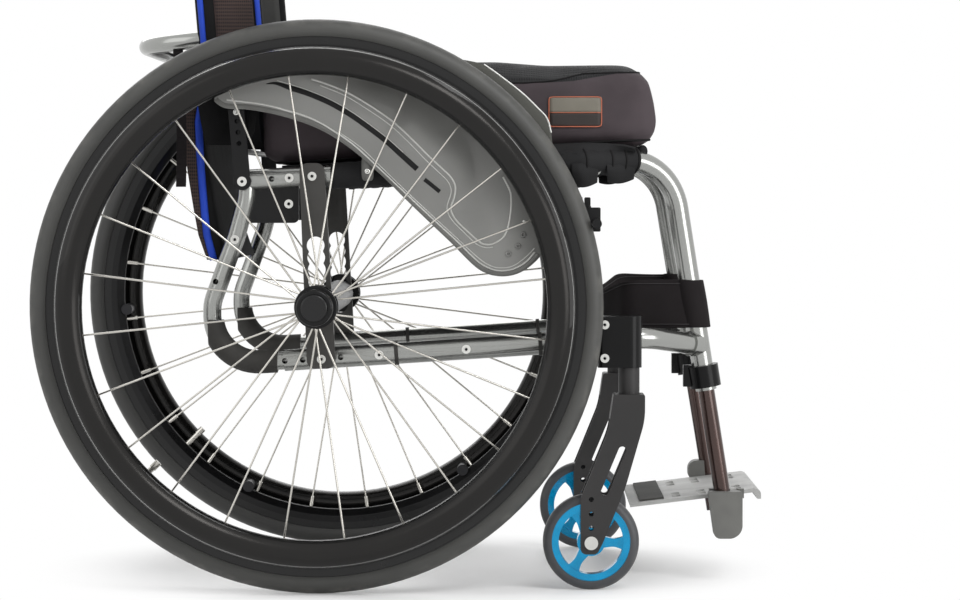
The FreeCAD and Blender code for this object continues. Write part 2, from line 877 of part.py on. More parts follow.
def frame_bolts(tube_forms):
    """Bolts of the axle plate, the frame tubes and the back's pivot on one side."""
    bolts = []
    for x, z in plate_bolt_places():
        bolts.append(bolt(x, z, plate_outer_y, rail_half + rail_r))
    on_tube = [(rail_bolt_x, rail_height(rail_bolt_x), rail_r), (rear_bolt_x, rear_bolt_z, rear_tube_r)]
    on_tube += [(x, lower_height(x), lower_r) for x in lower_bolt_places]
    for x, z, tube_r in on_tube:
        bolts.append(bolt(x, z, rail_half + tube_r, rail_half))
    lock_y = rail_half + lock_plate_half_thick
    bolts.append(bolt(lock_bolt_x, lock_bolt_z, lock_y, rail_half - lock_plate_half_thick))
    head_y = bracket_inner_y + bracket_thick + soft_gap
    pivot = cross_rod(pivot_x, pivot_z, pivot_bolt_r, rail_half, head_y)
    pivot = pivot.fuse(cross_rod(pivot_x, pivot_z, pivot_head_r, head_y, head_y + bolt_head_height))
    bolts.append(pivot)
    for z in housing_bolts_z:
        bolts.append(bolt(housing_bolt_x, z, housing_outer_y, housing_outer_y - housing_bolt_length))
    for i, shape in enumerate(bolts):
        for form in tube_forms:
            shape = shape.cut(form)
        bolts[i] = max(shape.Solids, key=lambda solid: solid.Volume)
    return bolts


def lock_plate(tube_forms):
    """Plate under the rail's rear end that holds the back's lock."""
    top_z = rail_rear_z
    places = [(lock_plate_rear_x, top_z), (lock_plate_front_x, top_z)]
    places += [(lock_plate_front_x, lock_plate_bottom_z), (lock_plate_rear_x, lock_plate_bottom_z)]
    corner = lock_plate_corner_r
    radii = [0, 0, corner, corner]
    y_from = rail_half - lock_plate_half_thick
    y_to = rail_half + lock_plate_half_thick
    plate = side_plate(places, radii, y_from, y_to)
    plate = plate.cut(cross_rod(lock_bolt_x, lock_bolt_z, bolt_shank_r + run_gap, y_from, y_to))
    for form in tube_forms:
        plate = plate.cut(form)
    return max(plate.Solids, key=lambda solid: solid.Volume)


def caster_housing(lower_form):
    """Block clamped on the lower tube, with the upright barrel of the caster stem."""
    height = housing_top_z - housing_bottom_z
    barrel = Part.makeCylinder(housing_r, height, Vector(stem_x, caster_half, housing_bottom_z))
    outer_y = housing_outer_y
    length = stem_x - housing_rear_x
    corner = Vector(housing_rear_x, housing_inner_y, housing_bottom_z)
    body = Part.makeBox(length, outer_y - housing_inner_y, height, corner)
    upright = [edge for edge in body.Edges if edge.BoundBox.ZLength > height / 2]
    rear = [edge for edge in upright if edge.BoundBox.XMax < housing_rear_x + run_gap]
    body = body.makeFillet(bolt_head_r, rear)
    shoulder = Part.makeBox(
        housing_r,
        caster_half - housing_inner_y,
        housing_top_z - housing_clamp_bottom_z,
        Vector(stem_x, housing_inner_y, housing_clamp_bottom_z),
    )
    block = body.fuse(barrel).fuse(shoulder).cut(lower_form)
    for z in housing_bolts_z:
        hole_r = bolt_shank_r + run_gap
        block = block.cut(cross_rod(housing_bolt_x, z, hole_r, outer_y - housing_bolt_length, outer_y))
    seat_r = stem_bearing_r + run_gap
    bore_height = height - stem_cap_wall
    bore = Part.makeCylinder(seat_r, bore_height, Vector(stem_x, caster_half, housing_bottom_z))
    return max(block.cut(bore).Solids, key=lambda solid: solid.Volume)


def stem_bearings():
    """Two ball bearings of the caster stem, each as one closed ring."""
    rings = []
    top_z = housing_top_z - stem_cap_wall - stem_bearing_height
    for z in (housing_bottom_z, top_z):
        base = Vector(stem_x, caster_half, z)
        ring = Part.makeCylinder(stem_bearing_r, stem_bearing_height, base)
        rings.append(ring.cut(Part.makeCylinder(stem_r + run_gap, stem_bearing_height, base)))
    return rings


def fork():
    """Caster fork: two swept-back arms with a slot, a crown and the upright stem."""
    places = [
        (crown_rear_x, fork_top_z),
        (crown_front_x, fork_top_z),
        (crown_front_x, fork_top_z - crown_height),
        fork_waist_front,
        (caster_x + fork_eye_r, caster_radius),
        (caster_x + fork_eye_r / 2, caster_radius - fork_eye_r),
        (fork_rear_x, caster_radius - fork_eye_r),
        (fork_rear_x, fork_heel_z),
        fork_shoulder_rear,
    ]
    bend = fork_bend_r
    corner = fork_corner_r
    radii = [corner / 3, corner / 3, bend, bend, corner, corner, corner, corner * 3, bend]
    outer_half = fork_inner_half + fork_arm_thick
    block = side_plate(places, radii, caster_half - outer_half, caster_half + outer_half)
    gap_top = fork_top_z - crown_height
    gap = Part.makeBox(
        crown_front_x,
        2 * fork_inner_half,
        gap_top,
        Vector(stem_x - crown_front_x / 2, caster_half - fork_inner_half, 0),
    )
    y_from = caster_half - outer_half - overrun
    y_to = caster_half + outer_half + overrun
    shape = block.cut(gap)
    shape = shape.cut(link_plate(fork_slot_top, fork_slot_bottom, fork_slot_half, y_from, y_to))
    for z in fork_holes_z:
        shape = shape.cut(cross_rod(caster_x, z, fork_hole_r, y_from, y_to))
    shape = shape.cut(cross_rod(caster_x, caster_radius, caster_axle_r + run_gap, y_from, y_to))
    collar_height = housing_bottom_z - soft_gap - fork_top_z
    collar = Part.makeCylinder(collar_r, collar_height, Vector(stem_x, caster_half, fork_top_z))
    stem_height = housing_top_z - stem_cap_wall - stem_top_gap - fork_top_z
    stem = Part.makeCylinder(stem_r, stem_height, Vector(stem_x, caster_half, fork_top_z))
    return shape.fuse(collar).fuse(stem)


def caster_rim():
    """Caster wheel centre: hub, three flared spokes and the ring."""
    centre = (caster_x, caster_radius, caster_half)
    half = caster_rim_half
    ring_places = [(caster_rim_inner_r, -half), (caster_tyre_inner_r, -half)]
    ring_places += [(caster_tyre_inner_r, half), (caster_rim_inner_r, half)]
    shape = turned(ring_places, [0] * len(ring_places), *centre)
    bore_r = caster_bearing_r + run_gap
    half = caster_hub_half
    hub_places = [(bore_r, -half), (caster_hub_r, -half), (caster_hub_r, half), (bore_r, half)]
    shape = shape.fuse(turned(hub_places, [0] * len(hub_places), *centre))
    for i in range(caster_spokes):
        angle = caster_spoke_angle + 360 * i / caster_spokes
        shape = shape.fuse(caster_spoke(angle))
    return shape


def caster_spoke(angle):
    """One spoke, wide at the hub and wider at the ring."""
    root_r = (caster_bearing_r + caster_hub_r) / 2
    waist_r = (caster_hub_r + caster_rim_inner_r) / 2
    tip_r = (caster_rim_inner_r + caster_tyre_inner_r) / 2
    half = [
        (root_r, caster_spoke_root_half),
        (waist_r, caster_spoke_waist_half),
        (caster_rim_inner_r - caster_spoke_waist_half / 2, caster_spoke_root_half),
        (tip_r, caster_spoke_tip_half),
    ]
    places = half + [(r, -side) for r, side in reversed(half)]
    points = [Vector(caster_x + r, caster_half - caster_web_half, caster_radius + side) for r, side in places]
    radii = [0, caster_hub_r, caster_spoke_root_half, 0, 0, caster_spoke_root_half, caster_hub_r, 0]
    face = Part.Face(Part.Wire(rounded_edges(points, radii, True)))
    spoke = face.extrude(Vector(0, 2 * caster_web_half, 0))
    spoke.rotate(Vector(caster_x, 0, caster_radius), Vector(0, 1, 0), -angle)
    return spoke


def caster_tyre():
    """Soft tyre of the caster, round at its shoulders."""
    half = caster_tyre_half
    places = [(caster_tyre_inner_r, -half), (caster_radius, -half)]
    places += [(caster_radius, half), (caster_tyre_inner_r, half)]
    radii = [0, caster_tyre_corner_r, caster_tyre_corner_r, 0]
    return turned(places, radii, caster_x, caster_radius, caster_half)


def caster_axle_set():
    """Caster axle bolt with nuts, two spacers and the wheel's two bearings."""
    outer_half = fork_inner_half + fork_arm_thick
    y_end = outer_half + caster_nut_thick

    def ring(outer_r, inner_r, out_from, out_to):
        y_from = caster_half + out_from
        y_to = caster_half + out_to
        body = cross_rod(caster_x, caster_radius, outer_r, y_from, y_to)
        if inner_r == 0:
            return body
        return body.cut(cross_rod(caster_x, caster_radius, inner_r, y_from, y_to))

    axle = ring(caster_axle_r, 0, -y_end, y_end)
    axle = axle.fuse(ring(caster_nut_r, 0, outer_half, y_end))
    axle = axle.fuse(ring(caster_nut_r, 0, -y_end, -outer_half))
    bore_r = caster_axle_r + run_gap
    inner = caster_hub_half - caster_bearing_width
    pieces = [axle]
    pieces.append(ring(caster_bearing_r, bore_r, inner, caster_hub_half))
    pieces.append(ring(caster_bearing_r, bore_r, -caster_hub_half, -inner))
    pieces.append(ring(caster_spacer_r, bore_r, caster_hub_half, fork_inner_half))
    pieces.append(ring(caster_spacer_r, bore_r, -fork_inner_half, -caster_hub_half))
    return pieces


def foot_tube_points():
    """Ends of the height-adjustable footrest tube, in line with the front tube."""
    return front_axis(foot_tube_top_z), front_axis(foot_tube_bottom_z)


def footrest_tube():
    """Footrest tube that slides in the front tube."""
    top, bottom = foot_tube_points()
    return rod(top, bottom, foot_tube_r).cut(rod(top, bottom, foot_tube_bore_r))


def footrest_clamp(front_form):
    """Clamp collar with its ear on the front tube's lower end."""
    top = front_axis(clamp_top_z)
    bottom = front_axis(clamp_bottom_z)
    collar = rod(bottom, top, clamp_r)
    ear = Part.makeBox(
        clamp_ear_length,
        2 * clamp_ear_half,
        clamp_top_z - clamp_bottom_z,
        Vector(bottom.x - clamp_ear_length, bottom.y - clamp_ear_half, clamp_bottom_z),
    )
    shape = collar.fuse(ear).cut(front_form)
    return max(shape.Solids, key=lambda solid: solid.Volume)


def foot_height(x):
    """Height of the footplate's top face at a place along the chair."""
    return plate_rear_z + (x - plate_rear_x) * math.tan(math.radians(foot_slope))


def foot_point(along, y, above):
    """Place on the sloping footplate, from its rear edge, with a height over its top face."""
    slope = math.radians(foot_slope)
    x = plate_rear_x + along * math.cos(slope) - above * math.sin(slope)
    return Vector(x, y, plate_rear_z + along * math.sin(slope) + above * math.cos(slope))


def hinge_point(along):
    """Place on the level axis of the footplate's hinge."""
    middle = knuckle_start + knuckle_length / 2
    return foot_point(middle, foot_hinge_y, 0) + Vector(along - middle, 0, 0)


def footplate():
    """Sloping footplate with a lip, rows of slots and the hinge knuckle."""
    run = (foot_reach - plate_rear_x) / math.cos(math.radians(foot_slope))
    lip = foot_lip_drop
    y_from = foot_hinge_y + foot_edge_gap
    corners = [
        foot_point(0, y_from, 0),
        foot_point(run - lip, y_from, 0),
        Vector(foot_reach, y_from, foot_height(foot_reach) - lip / 2),
        Vector(foot_reach, y_from, foot_height(foot_reach) - 2 * lip),
        Vector(foot_reach - foot_thick, y_from, foot_height(foot_reach) - 2 * lip),
        foot_point(run - lip - foot_thick / 2, y_from, -foot_thick),
        foot_point(0, y_from, -foot_thick),
    ]
    radii = [0, lip, lip, 0, 0, lip / 2, 0]
    plate = Part.Face(Part.Wire(rounded_edges(corners, radii, True)))
    plate = plate.extrude(Vector(0, foot_left_y - y_from, 0))
    for along in foot_slot_places:
        for side_y in foot_slot_sides:
            plate = plate.cut(foot_slot(along, side_y))
            plate = plate.cut(foot_slot(along, -side_y))
    start = hinge_point(knuckle_start)
    end = hinge_point(knuckle_start + knuckle_length)
    tongue_places = [
        (start.x, foot_height(start.x)),
        (end.x, foot_height(end.x)),
        (end.x, foot_height(end.x) - foot_thick),
        (start.x, foot_height(start.x) - foot_thick),
    ]
    tongue = side_plate(tongue_places, [0] * len(tongue_places), foot_hinge_y, y_from + knuckle_r)
    plate = plate.fuse(rod(start, end, knuckle_r)).fuse(tongue)
    return plate.cut(rod(start, end, hinge_pin_r + run_gap))


def foot_slot(along, middle_y):
    """Cutter for one slot across the footplate."""
    half = foot_slot_length / 2
    low = foot_point(along, middle_y - half, -foot_thick - overrun)
    high = foot_point(along, middle_y - half, overrun)
    cutter = rod(low, high, foot_slot_half)
    far = rod(low + Vector(0, 2 * half, 0), high + Vector(0, 2 * half, 0), foot_slot_half)
    bar = Part.makeBox(2 * foot_slot_half, 2 * half, (high - low).Length, low - Vector(foot_slot_half, 0, 0))
    bar.rotate(low, Vector(0, 1, 0), -foot_slope)
    return cutter.fuse(far).fuse(bar)


def footplate_pad():
    """Dark grip pad across the footplate's rear end."""
    y_from = foot_hinge_y + foot_edge_gap + foot_pad_border
    corner = foot_point(foot_pad_place - foot_pad_width / 2, y_from, 0)
    length = foot_left_y - foot_pad_border - y_from
    pad = Part.makeBox(foot_pad_width, length, foot_pad_thick, corner)
    pad.rotate(corner, Vector(0, 1, 0), -foot_slope)
    return pad


def footplate_hinge_base():
    """Housing on the right footrest tube with the ears and pin of the footplate's hinge."""
    places = [(hinge_rear_x, hinge_top_z), (hinge_front_x, hinge_top_z)]
    places += [(hinge_front_x, hinge_bottom_z), (hinge_rear_x + hinge_corner_r, hinge_bottom_z)]
    radii = [hinge_corner_r / 2, hinge_corner_r / 2, hinge_corner_r * 2, hinge_corner_r]
    inner_y = foot_hinge_y - knuckle_r - foot_edge_gap / 2
    shape = side_plate(places, radii, -hinge_outer_half, inner_y)
    for along in (knuckle_start - ear_length - soft_gap, knuckle_start + knuckle_length + soft_gap):
        ear_start = hinge_point(along)
        ear = rod(ear_start, hinge_point(along + ear_length), knuckle_r)
        corner = Vector(ear_start.x, inner_y - overrun, ear_start.z - knuckle_r)
        web = Part.makeBox(ear_length, foot_hinge_y - inner_y + overrun, knuckle_r * 2, corner)
        shape = shape.fuse(ear).fuse(web)
    pin_start = hinge_point(knuckle_start - ear_length)
    pin_end = hinge_point(knuckle_start + knuckle_length + ear_length)
    shape = shape.fuse(rod(pin_start, pin_end, hinge_pin_r))
    top, bottom = foot_tube_points()
    tube_form = mirrored(rod(top, bottom, foot_tube_r))
    return shape.cut(tube_form)


def footplate_rest_hook():
    """Bracket on the left footrest tube that carries the footplate's free edge."""
    places = [(hook_rear_x, hook_top_z), (hook_front_x, hook_top_z)]
    places += [(hook_front_x, hook_bottom_z), (hook_rear_x, hook_bottom_z)]
    shape = side_plate(places, [hook_corner_r] * 4, foot_left_y + foot_edge_gap / 2, hinge_outer_half)
    below = -foot_thick - soft_gap - hook_tongue_thick
    corner = foot_point(hook_rear_x - plate_rear_x, hook_tongue_y, below)
    reach = foot_left_y + foot_edge_gap - hook_tongue_y
    tongue = Part.makeBox(hook_front_x - hook_rear_x, reach, hook_tongue_thick, corner)
    tongue.rotate(corner, Vector(0, 1, 0), -foot_slope)
    top, bottom = foot_tube_points()
    return shape.fuse(tongue).cut(rod(top, bottom, foot_tube_r))


def calf_strap():
    """Padded band behind the legs, looped round both front tubes."""
    middle_z = (strap_top_z + strap_bottom_z) / 2
    half = [
        Vector(strap_front_x, strap_side_half, middle_z),
        Vector(strap_turn_x, strap_side_half, middle_z),
        Vector(strap_back_x, strap_back_half, middle_z - strap_back_drop),
    ]
    points = half + [Vector(p.x, -p.y, p.z) for p in reversed(half)]
    radii = [0, strap_bend_r, strap_bend_r, strap_bend_r, strap_bend_r, 0]
    path = Part.Wire(rounded_edges(points, radii))
    tall = (strap_top_z - strap_bottom_z) / 2
    thick = strap_thick / 2
    corners = [(thick, tall), (-thick, tall), (-thick, -tall), (thick, -tall), (thick, tall)]
    section = Part.makePolygon([half[0] + Vector(0, side, up) for side, up in corners])
    band = path.makePipeShell([section], True, False)
    loop = rod(front_axis(strap_bottom_z), front_axis(strap_top_z), strap_loop_r)
    hole = rod(front_axis(strap_bottom_z - overrun), front_axis(strap_top_z + overrun), rail_r + soft_gap)
    shape = band.fuse(both(loop))
    return shape.cut(Part.makeCompound(both(hole)))


def guard_outline():
    """Closed outline of the side guard: a soft lower edge and an arc along the rim."""
    start = polar(0, axle_z, guard_outer_r, guard_front_angle, guard_inner_y)
    middle = polar(0, axle_z, guard_outer_r, (guard_front_angle + guard_rear_angle) / 2, guard_inner_y)
    end = polar(0, axle_z, guard_outer_r, guard_rear_angle, guard_inner_y)
    points = [end]
    radii = [0]
    for x_share, z_share, radius_share in guard_lower_shares:
        points.append(Vector(guard_outer_r * x_share, guard_inner_y, axle_z + guard_outer_r * z_share))
        radii.append(guard_outer_r * radius_share)
    points.append(start)
    radii.append(0)
    edges = rounded_edges(points, radii)
    edges.append(Part.Arc(start, middle, end).toShape())
    return Part.Wire(edges)


def guard_places(place_shares):
    """Places on the guard from shares of its outer radius."""
    return [(guard_outer_r * x_share, axle_z + guard_outer_r * z_share) for x_share, z_share in place_shares]


def arc_band(places, width, y_from, y_to):
    """Curved bar of even width through three places."""
    points = [Vector(x, y_from, z) for x, z in places]
    centre = Part.Arc(*points).toShape().Curve.Center
    outer = [point + (point - centre).normalize() * (width / 2) for point in points]
    inner = [point - (point - centre).normalize() * (width / 2) for point in points]
    edges = [
        Part.Arc(*outer).toShape(),
        Part.LineSegment(outer[2], inner[2]).toShape(),
        Part.Arc(*inner).toShape(),
        Part.LineSegment(inner[0], outer[0]).toShape(),
    ]
    return Part.Face(Part.Wire(Part.sortEdges(edges)[0])).extrude(Vector(0, y_to - y_from, 0))


def guard_bosses(radius):
    """Posts from the seat rail to the side guard."""
    return [cross_rod(x, rail_height(x), radius, rail_half, guard_inner_y) for x in guard_boss_places]


def side_guard(front_form):
    """Moulded clothes guard with a raised border, a groove and four holes."""
    outline = guard_outline()
    shape = Part.Face(outline).extrude(Vector(0, guard_thick, 0))
    pocket = outline.makeOffset2D(-guard_ridge)
    pocket.translate(Vector(0, guard_thick - guard_pocket_depth, 0))
    shape = shape.cut(Part.Face(pocket).extrude(Vector(0, guard_pocket_depth + overrun, 0)))
    outer_y = guard_inner_y + guard_thick
    groove_floor = outer_y - 2 * guard_pocket_depth
    slot_places = guard_places(guard_slot_shares)
    shape = shape.cut(arc_band(slot_places, guard_slot_width, groove_floor, outer_y + overrun))
    for x, z in guard_places(guard_hole_shares):
        shape = shape.cut(cross_rod(x, z, guard_hole_r, guard_inner_y - overrun, outer_y + overrun))
    for boss in guard_bosses(guard_boss_r):
        shape = shape.fuse(boss.cut(front_form))
    return shape


def sling_cut_outs():
    """Forms of what passes the sling at the left rail or under it, with room for the fabric's edges."""
    reach = brake_clamp_half + sling_cut_gap
    start = Vector(brake_clamp_x - reach, rail_half, rail_height(brake_clamp_x - reach))
    end = Vector(brake_clamp_x + reach, rail_half, rail_height(brake_clamp_x + reach))
    forms = guard_bosses(guard_boss_r + sling_cut_gap) + [rod(start, end, brake_clamp_r + soft_gap)]
    cross_tube_z = rail_height(cross_tube_x) - cross_tube_drop
    forms.append(cross_rod(cross_tube_x, cross_tube_z, cross_tube_r + sling_cut_gap, 0, rail_half))
    return forms


def seat_sling():
    """Fabric seat: a stretched sheet, a sleeve round each rail and a flap under each rail's front."""
    direction = (side_rail_points()[2] - side_rail_points()[1]).normalize()
    taper = side_rail_points()[1]
    front = taper + direction * ((sling_wrap_front_x - taper.x) / direction.x)
    rear = Vector(sling_wrap_rear_x, rail_half, rail_height(sling_wrap_rear_x))
    points = [rear, taper, front]
    radii = [0, rail_taper_bend_r, 0]
    sleeve = sweep(points, radii, sling_r)
    lift = Vector(0, 0, rail_r + soft_gap - sling_thick / 2)
    tail = Vector(sling_sheet_rear_x, rail_half - rail_r, rail_height(sling_sheet_rear_x))
    neck = Vector(sling_wrap_rear_x, rail_half - rail_r, rail_height(sling_wrap_rear_x))
    left = [point + lift for point in (tail, neck, rear, taper, front)]
    right = [Vector(point.x, -point.y, point.z) for point in reversed(left)]
    sheet = Part.Face(Part.makePolygon(left + right + left[:1])).extrude(Vector(0, 0, sling_thick))
    inboard = Vector(direction.y, -direction.x, 0).normalize()
    start = taper + direction * flap_start + inboard * (rail_r + soft_gap)
    corners = [start, start + inboard * sling_thick]
    corners += [corner + direction * flap_length for corner in reversed(corners)]
    flap = Part.Face(Part.makePolygon(corners + corners[:1])).extrude(Vector(0, 0, -flap_drop))
    shape = sheet.fuse(both(sleeve)).fuse(both(flap))
    bore_rear = rear - Vector(overrun, 0, overrun * rail_slope_share)
    bore = sweep([bore_rear, taper, front + direction * overrun], radii, rail_r + soft_gap)
    shape = shape.cut(Part.makeCompound(both(bore)))
    for form in sling_cut_outs():
        for obstacle in both(form):
            shape = shape.cut(obstacle)
    return max(shape.Solids, key=lambda solid: solid.Volume)


def cushion_section(x, half, bottom_z, top_z):
    """Upright section of the cushion: flat base, swelling sides and a crowned top."""
    shoulder_z = top_z - cushion_crown
    middle_z = (bottom_z + shoulder_z) / 2
    foot = half - cushion_side_bulge
    bulge = half
    left_foot = Vector(x, foot, bottom_z)
    right_foot = Vector(x, -foot, bottom_z)
    left_shoulder = Vector(x, foot, shoulder_z)
    right_shoulder = Vector(x, -foot, shoulder_z)
    edges = [
        Part.LineSegment(right_foot, left_foot).toShape(),
        Part.Arc(left_foot, Vector(x, bulge, middle_z), left_shoulder).toShape(),
        Part.Arc(left_shoulder, Vector(x, 0, top_z), right_shoulder).toShape(),
        Part.Arc(right_shoulder, Vector(x, -bulge, middle_z), right_foot).toShape(),
    ]
    return Part.Wire(edges)


def seat_cushion():
    """Foam cushion with a crown, sides drawn in at the waist and a rounded nose and tail."""
    def base(x):
        return rail_height(x) + sling_r + soft_gap

    length = cushion_front_x - cushion_rear_x
    nose = cushion_nose
    wires = []
    for share, waist, lift, drop in cushion_station_shares:
        x = cushion_rear_x + length * share
        bottom_z = base(x) + nose * lift
        half = cushion_half - nose * waist
        wires.append(cushion_section(x, half, bottom_z, cushion_top_z - nose * drop))
    return Part.makeLoft(wires, True, False)


def back_bracket():
    """Drilled bracket that turns on the rail's rear end and carries a cane."""
    outer_y = bracket_inner_y + bracket_thick
    top_z = pivot_z + bracket_reach
    places = [(pivot_x - bracket_half, pivot_z), (pivot_x + bracket_half, pivot_z)]
    places += [(pivot_x + bracket_half, top_z), (pivot_x - bracket_half, top_z)]
    corner = bracket_half / 2
    shape = side_plate(places, [0, 0, corner, corner], bracket_inner_y, outer_y)
    shape = shape.fuse(cross_rod(pivot_x, pivot_z, bracket_end_r, bracket_inner_y, outer_y))
    y_from = bracket_inner_y - overrun
    shape = shape.cut(cross_rod(pivot_x, pivot_z, pivot_bolt_r + run_gap, y_from, outer_y + overrun))
    for reach in bracket_holes:
        shape = shape.cut(cross_rod(pivot_x, pivot_z + reach, bracket_hole_r, y_from, outer_y + overrun))
    bolt_z = pivot_z + bracket_bolt
    shape = shape.fuse(cross_rod(pivot_x, bolt_z, bolt_head_r, outer_y, outer_y + bolt_head_height))
    return reclined(shape)


def cane_length():
    """Height of the back's canes over the pivot, measured along them."""
    lean = math.radians(recline)
    return (back_top_z - pivot_z) / math.cos(lean) - cane_r * math.sin(lean)


def back_cane():
    """Back cane: a plain tube, open at its top for a push handle."""
    start = Vector(pivot_x, cane_half, pivot_z + cane_start)
    end = Vector(pivot_x, cane_half, pivot_z + cane_length())
    return reclined(rod(start, end, cane_r).cut(rod(start, end, cane_bore_r)))


def bow_form(radius):
    """Bar of the rigidizer: a wide U behind the back."""
    z = pivot_z + bow_reach
    half = [Vector(pivot_x, cane_half, z), Vector(pivot_x - bow_depth, cane_half, z)]
    points = half + [Vector(p.x, -p.y, p.z) for p in reversed(half)]
    return reclined(sweep(points, [0, bow_bend_r, bow_bend_r, 0], radius))


def rigidizer_bar():
    """Bent bar that holds the canes apart, welded to their rear sides."""
    shape = bow_form(bow_r)
    for form in both(cane_form(cane_r)):
        shape = shape.cut(form)
    return max(shape.Solids, key=lambda solid: solid.Volume)


def cane_form(radius):
    """Outer form of a cane, over its whole length."""
    start = Vector(pivot_x, cane_half, pivot_z)
    return reclined(rod(start, start + Vector(0, 0, cane_length() + overrun), radius))


def release_rod():
    """Rod between the brackets that frees the back's lock."""
    z = pivot_z + release_rod_reach
    return reclined(cross_rod(pivot_x, z, release_rod_r, -bracket_inner_y, bracket_inner_y))


def back_upholstery():
    """Padded back: a wing round each cane, the panel between them and the skirt that hangs below."""
    height = cane_length() - back_top_gap - wing_start
    z = pivot_z + wing_start
    corners = [(wing_front, wing_inner_y), (wing_front, wing_outer_y)]
    corners += [(-wing_rear, wing_outer_y), (-wing_rear, wing_inner_y)]
    points = [Vector(pivot_x + x, y, z) for x, y in corners]
    outline = Part.Wire(rounded_edges(points, [wing_corner_r] * 4, True))
    wing = Part.Face(outline).extrude(Vector(0, 0, height))
    panel_corner = Vector(pivot_x - wing_rear, -wing_inner_y - wing_corner_r, z)
    panel = Part.makeBox(panel_thick, 2 * (wing_inner_y + wing_corner_r), height, panel_corner)
    shape = panel.fuse(both(wing))
    shape = reclined(shape).fuse(back_skirt())
    shape = shape.cut(bow_form(bow_r + soft_gap))
    for form in both(cane_form(cane_r + soft_gap)):
        shape = shape.cut(form)
    return max(shape.Solids, key=lambda solid: solid.Volume)


def back_skirt():
    """Lower part of the back's fabric, bulging rearward and hanging behind the rear tubes."""
    front = [(x + skirt_thick, z) for x, z in reversed(skirt_rear_line)]
    radii = [0, skirt_bend_r, skirt_bend_r, skirt_edge_r, skirt_edge_r, skirt_bend_r, skirt_bend_r, 0]
    return side_plate(list(skirt_rear_line) + front, radii, -skirt_half, skirt_half)


def brake_mount(front_form):
    """Clamp on the seat rail with the plate of the brake's two pivots."""
    start = Vector(brake_clamp_x - brake_clamp_half, rail_half, rail_height(brake_clamp_x - brake_clamp_half))
    end = Vector(brake_clamp_x + brake_clamp_half, rail_half, rail_height(brake_clamp_x + brake_clamp_half))
    collar = rod(start, end, brake_clamp_r)
    edge = brake_link_half
    places = [
        (start.x, start.z),
        (end.x, end.z),
        (shoe_pivot_x + edge, shoe_pivot_z),
        (shoe_pivot_x, shoe_pivot_z - edge),
        (lever_pivot_x - edge, lever_pivot_z - edge),
    ]
    outer_y = brake_plate_inner_y + brake_plate_thick
    plate = side_plate(places, [0, 0, edge / 2, edge / 2, edge], brake_plate_inner_y, outer_y)
    shape = collar.fuse(plate).cut(front_form)
    pin_y = outer_y + brake_side_gap + brake_arm_thick
    for x, z in ((shoe_pivot_x, shoe_pivot_z), (lever_pivot_x, lever_pivot_z)):
        shape = shape.fuse(cross_rod(x, z, brake_pin_r, outer_y, pin_y))
    return max(shape.Solids, key=lambda solid: solid.Volume)


def brake_band():
    """Range across the chair that lever and shoe arm share."""
    y_from = brake_plate_inner_y + brake_plate_thick + brake_side_gap
    return y_from, y_from + brake_arm_thick


def shoe_place():
    """Middle of the brake shoe, just clear of the tyre."""
    return polar(0, axle_z, wheel_radius + shoe_r + soft_gap, shoe_angle, 0)


def brake_shoe():
    """Shoe arm with the round bar that presses on the tyre."""
    y_from, y_to = brake_band()
    shoe = shoe_place()
    arm = link_plate((shoe_pivot_x, shoe_pivot_z), (shoe.x, shoe.z), brake_link_half, y_from, y_to)
    corner = shoe_holder_front / 3
    holder_places = [
        (shoe.x - shoe_holder_back, shoe.z - shoe_holder_below),
        (shoe.x - shoe_holder_back, shoe.z + shoe_holder_above),
        (shoe.x + shoe_holder_front, shoe.z + shoe_holder_above),
        (shoe.x + shoe_holder_front, shoe.z - shoe_holder_below),
    ]
    tab_places = [
        (shoe.x - shoe_tab_back, shoe.z),
        (shoe.x - shoe_tab_back, shoe.z + shoe_tab_top),
        (shoe.x - shoe_tab_front, shoe.z + shoe_tab_top),
        (shoe.x - shoe_tab_front, shoe.z),
    ]
    arm = arm.fuse(side_plate(holder_places, [corner] * 4, y_from, y_from + shoe_holder_width))
    arm = arm.fuse(side_plate(tab_places, [corner] * 4, y_from, y_to))
    arm = arm.fuse(cross_rod(shoe.x, shoe.z, shoe_r, y_from, shoe_outer_y))
    bore_r = brake_pin_r + run_gap
    return arm.cut(cross_rod(shoe_pivot_x, shoe_pivot_z, bore_r, y_from - overrun, y_to + overrun))


def brake_lever():
    """Hand lever of the brake with its round grip."""
    y_from, y_to = brake_band()
    pivot = (lever_pivot_x, lever_pivot_z)
    lever = link_plate(pivot, (lever_tip_x, lever_tip_z), brake_link_half, y_from, y_to)
    bore_r = brake_pin_r + run_gap
    return lever.cut(cross_rod(*pivot, bore_r, y_from - overrun, y_to + overrun))


os.makedirs("parts", exist_ok=True)

front_form_left = seat_frame_form(rail_r)
front_forms = both(front_form_left)
rear_form_left = rear_tube_form(rear_tube_r)
lower_form_left = lower_tube_form(lower_r)
elbow = Part.makeSphere(rail_r, side_rail_points()[0])
tube_forms_left = [front_form_left, rear_form_left, lower_form_left, elbow]

rim_left = rim()
handrim_left = handrim()
write_pair("tyre", tyre())
write_pair("rim", rim_left)
write_pair("handrim", handrim_left)
write_pair("handrim_tabs", Part.makeCompound(handrim_tabs(rim_left, handrim_left)))
write_pair("spokes", Part.makeCompound(spokes() + [valve()]))
write_pair("hub", hub())
write_pair("release_button", release_button())
write("wheel_bearings", both(Part.makeCompound(wheel_bearings())))
write("quick_release_pins", both(quick_release_pin()))

write_pair("seat_frame", seat_frame())
write_pair("lower_frame", lower_frame(front_form_left))
write("cross_tube", cross_tube(front_forms))
write("axle_tube", axle_tube())
write("axle_receivers", both(axle_receiver()))
write("axle_plates", both(axle_plate(tube_forms_left)))
write("frame_sleeves", both(Part.makeCompound(frame_sleeves())))
write("frame_bolts", both(Part.makeCompound(frame_bolts(tube_forms_left))))
write("back_lock_plates", both(lock_plate(tube_forms_left)))

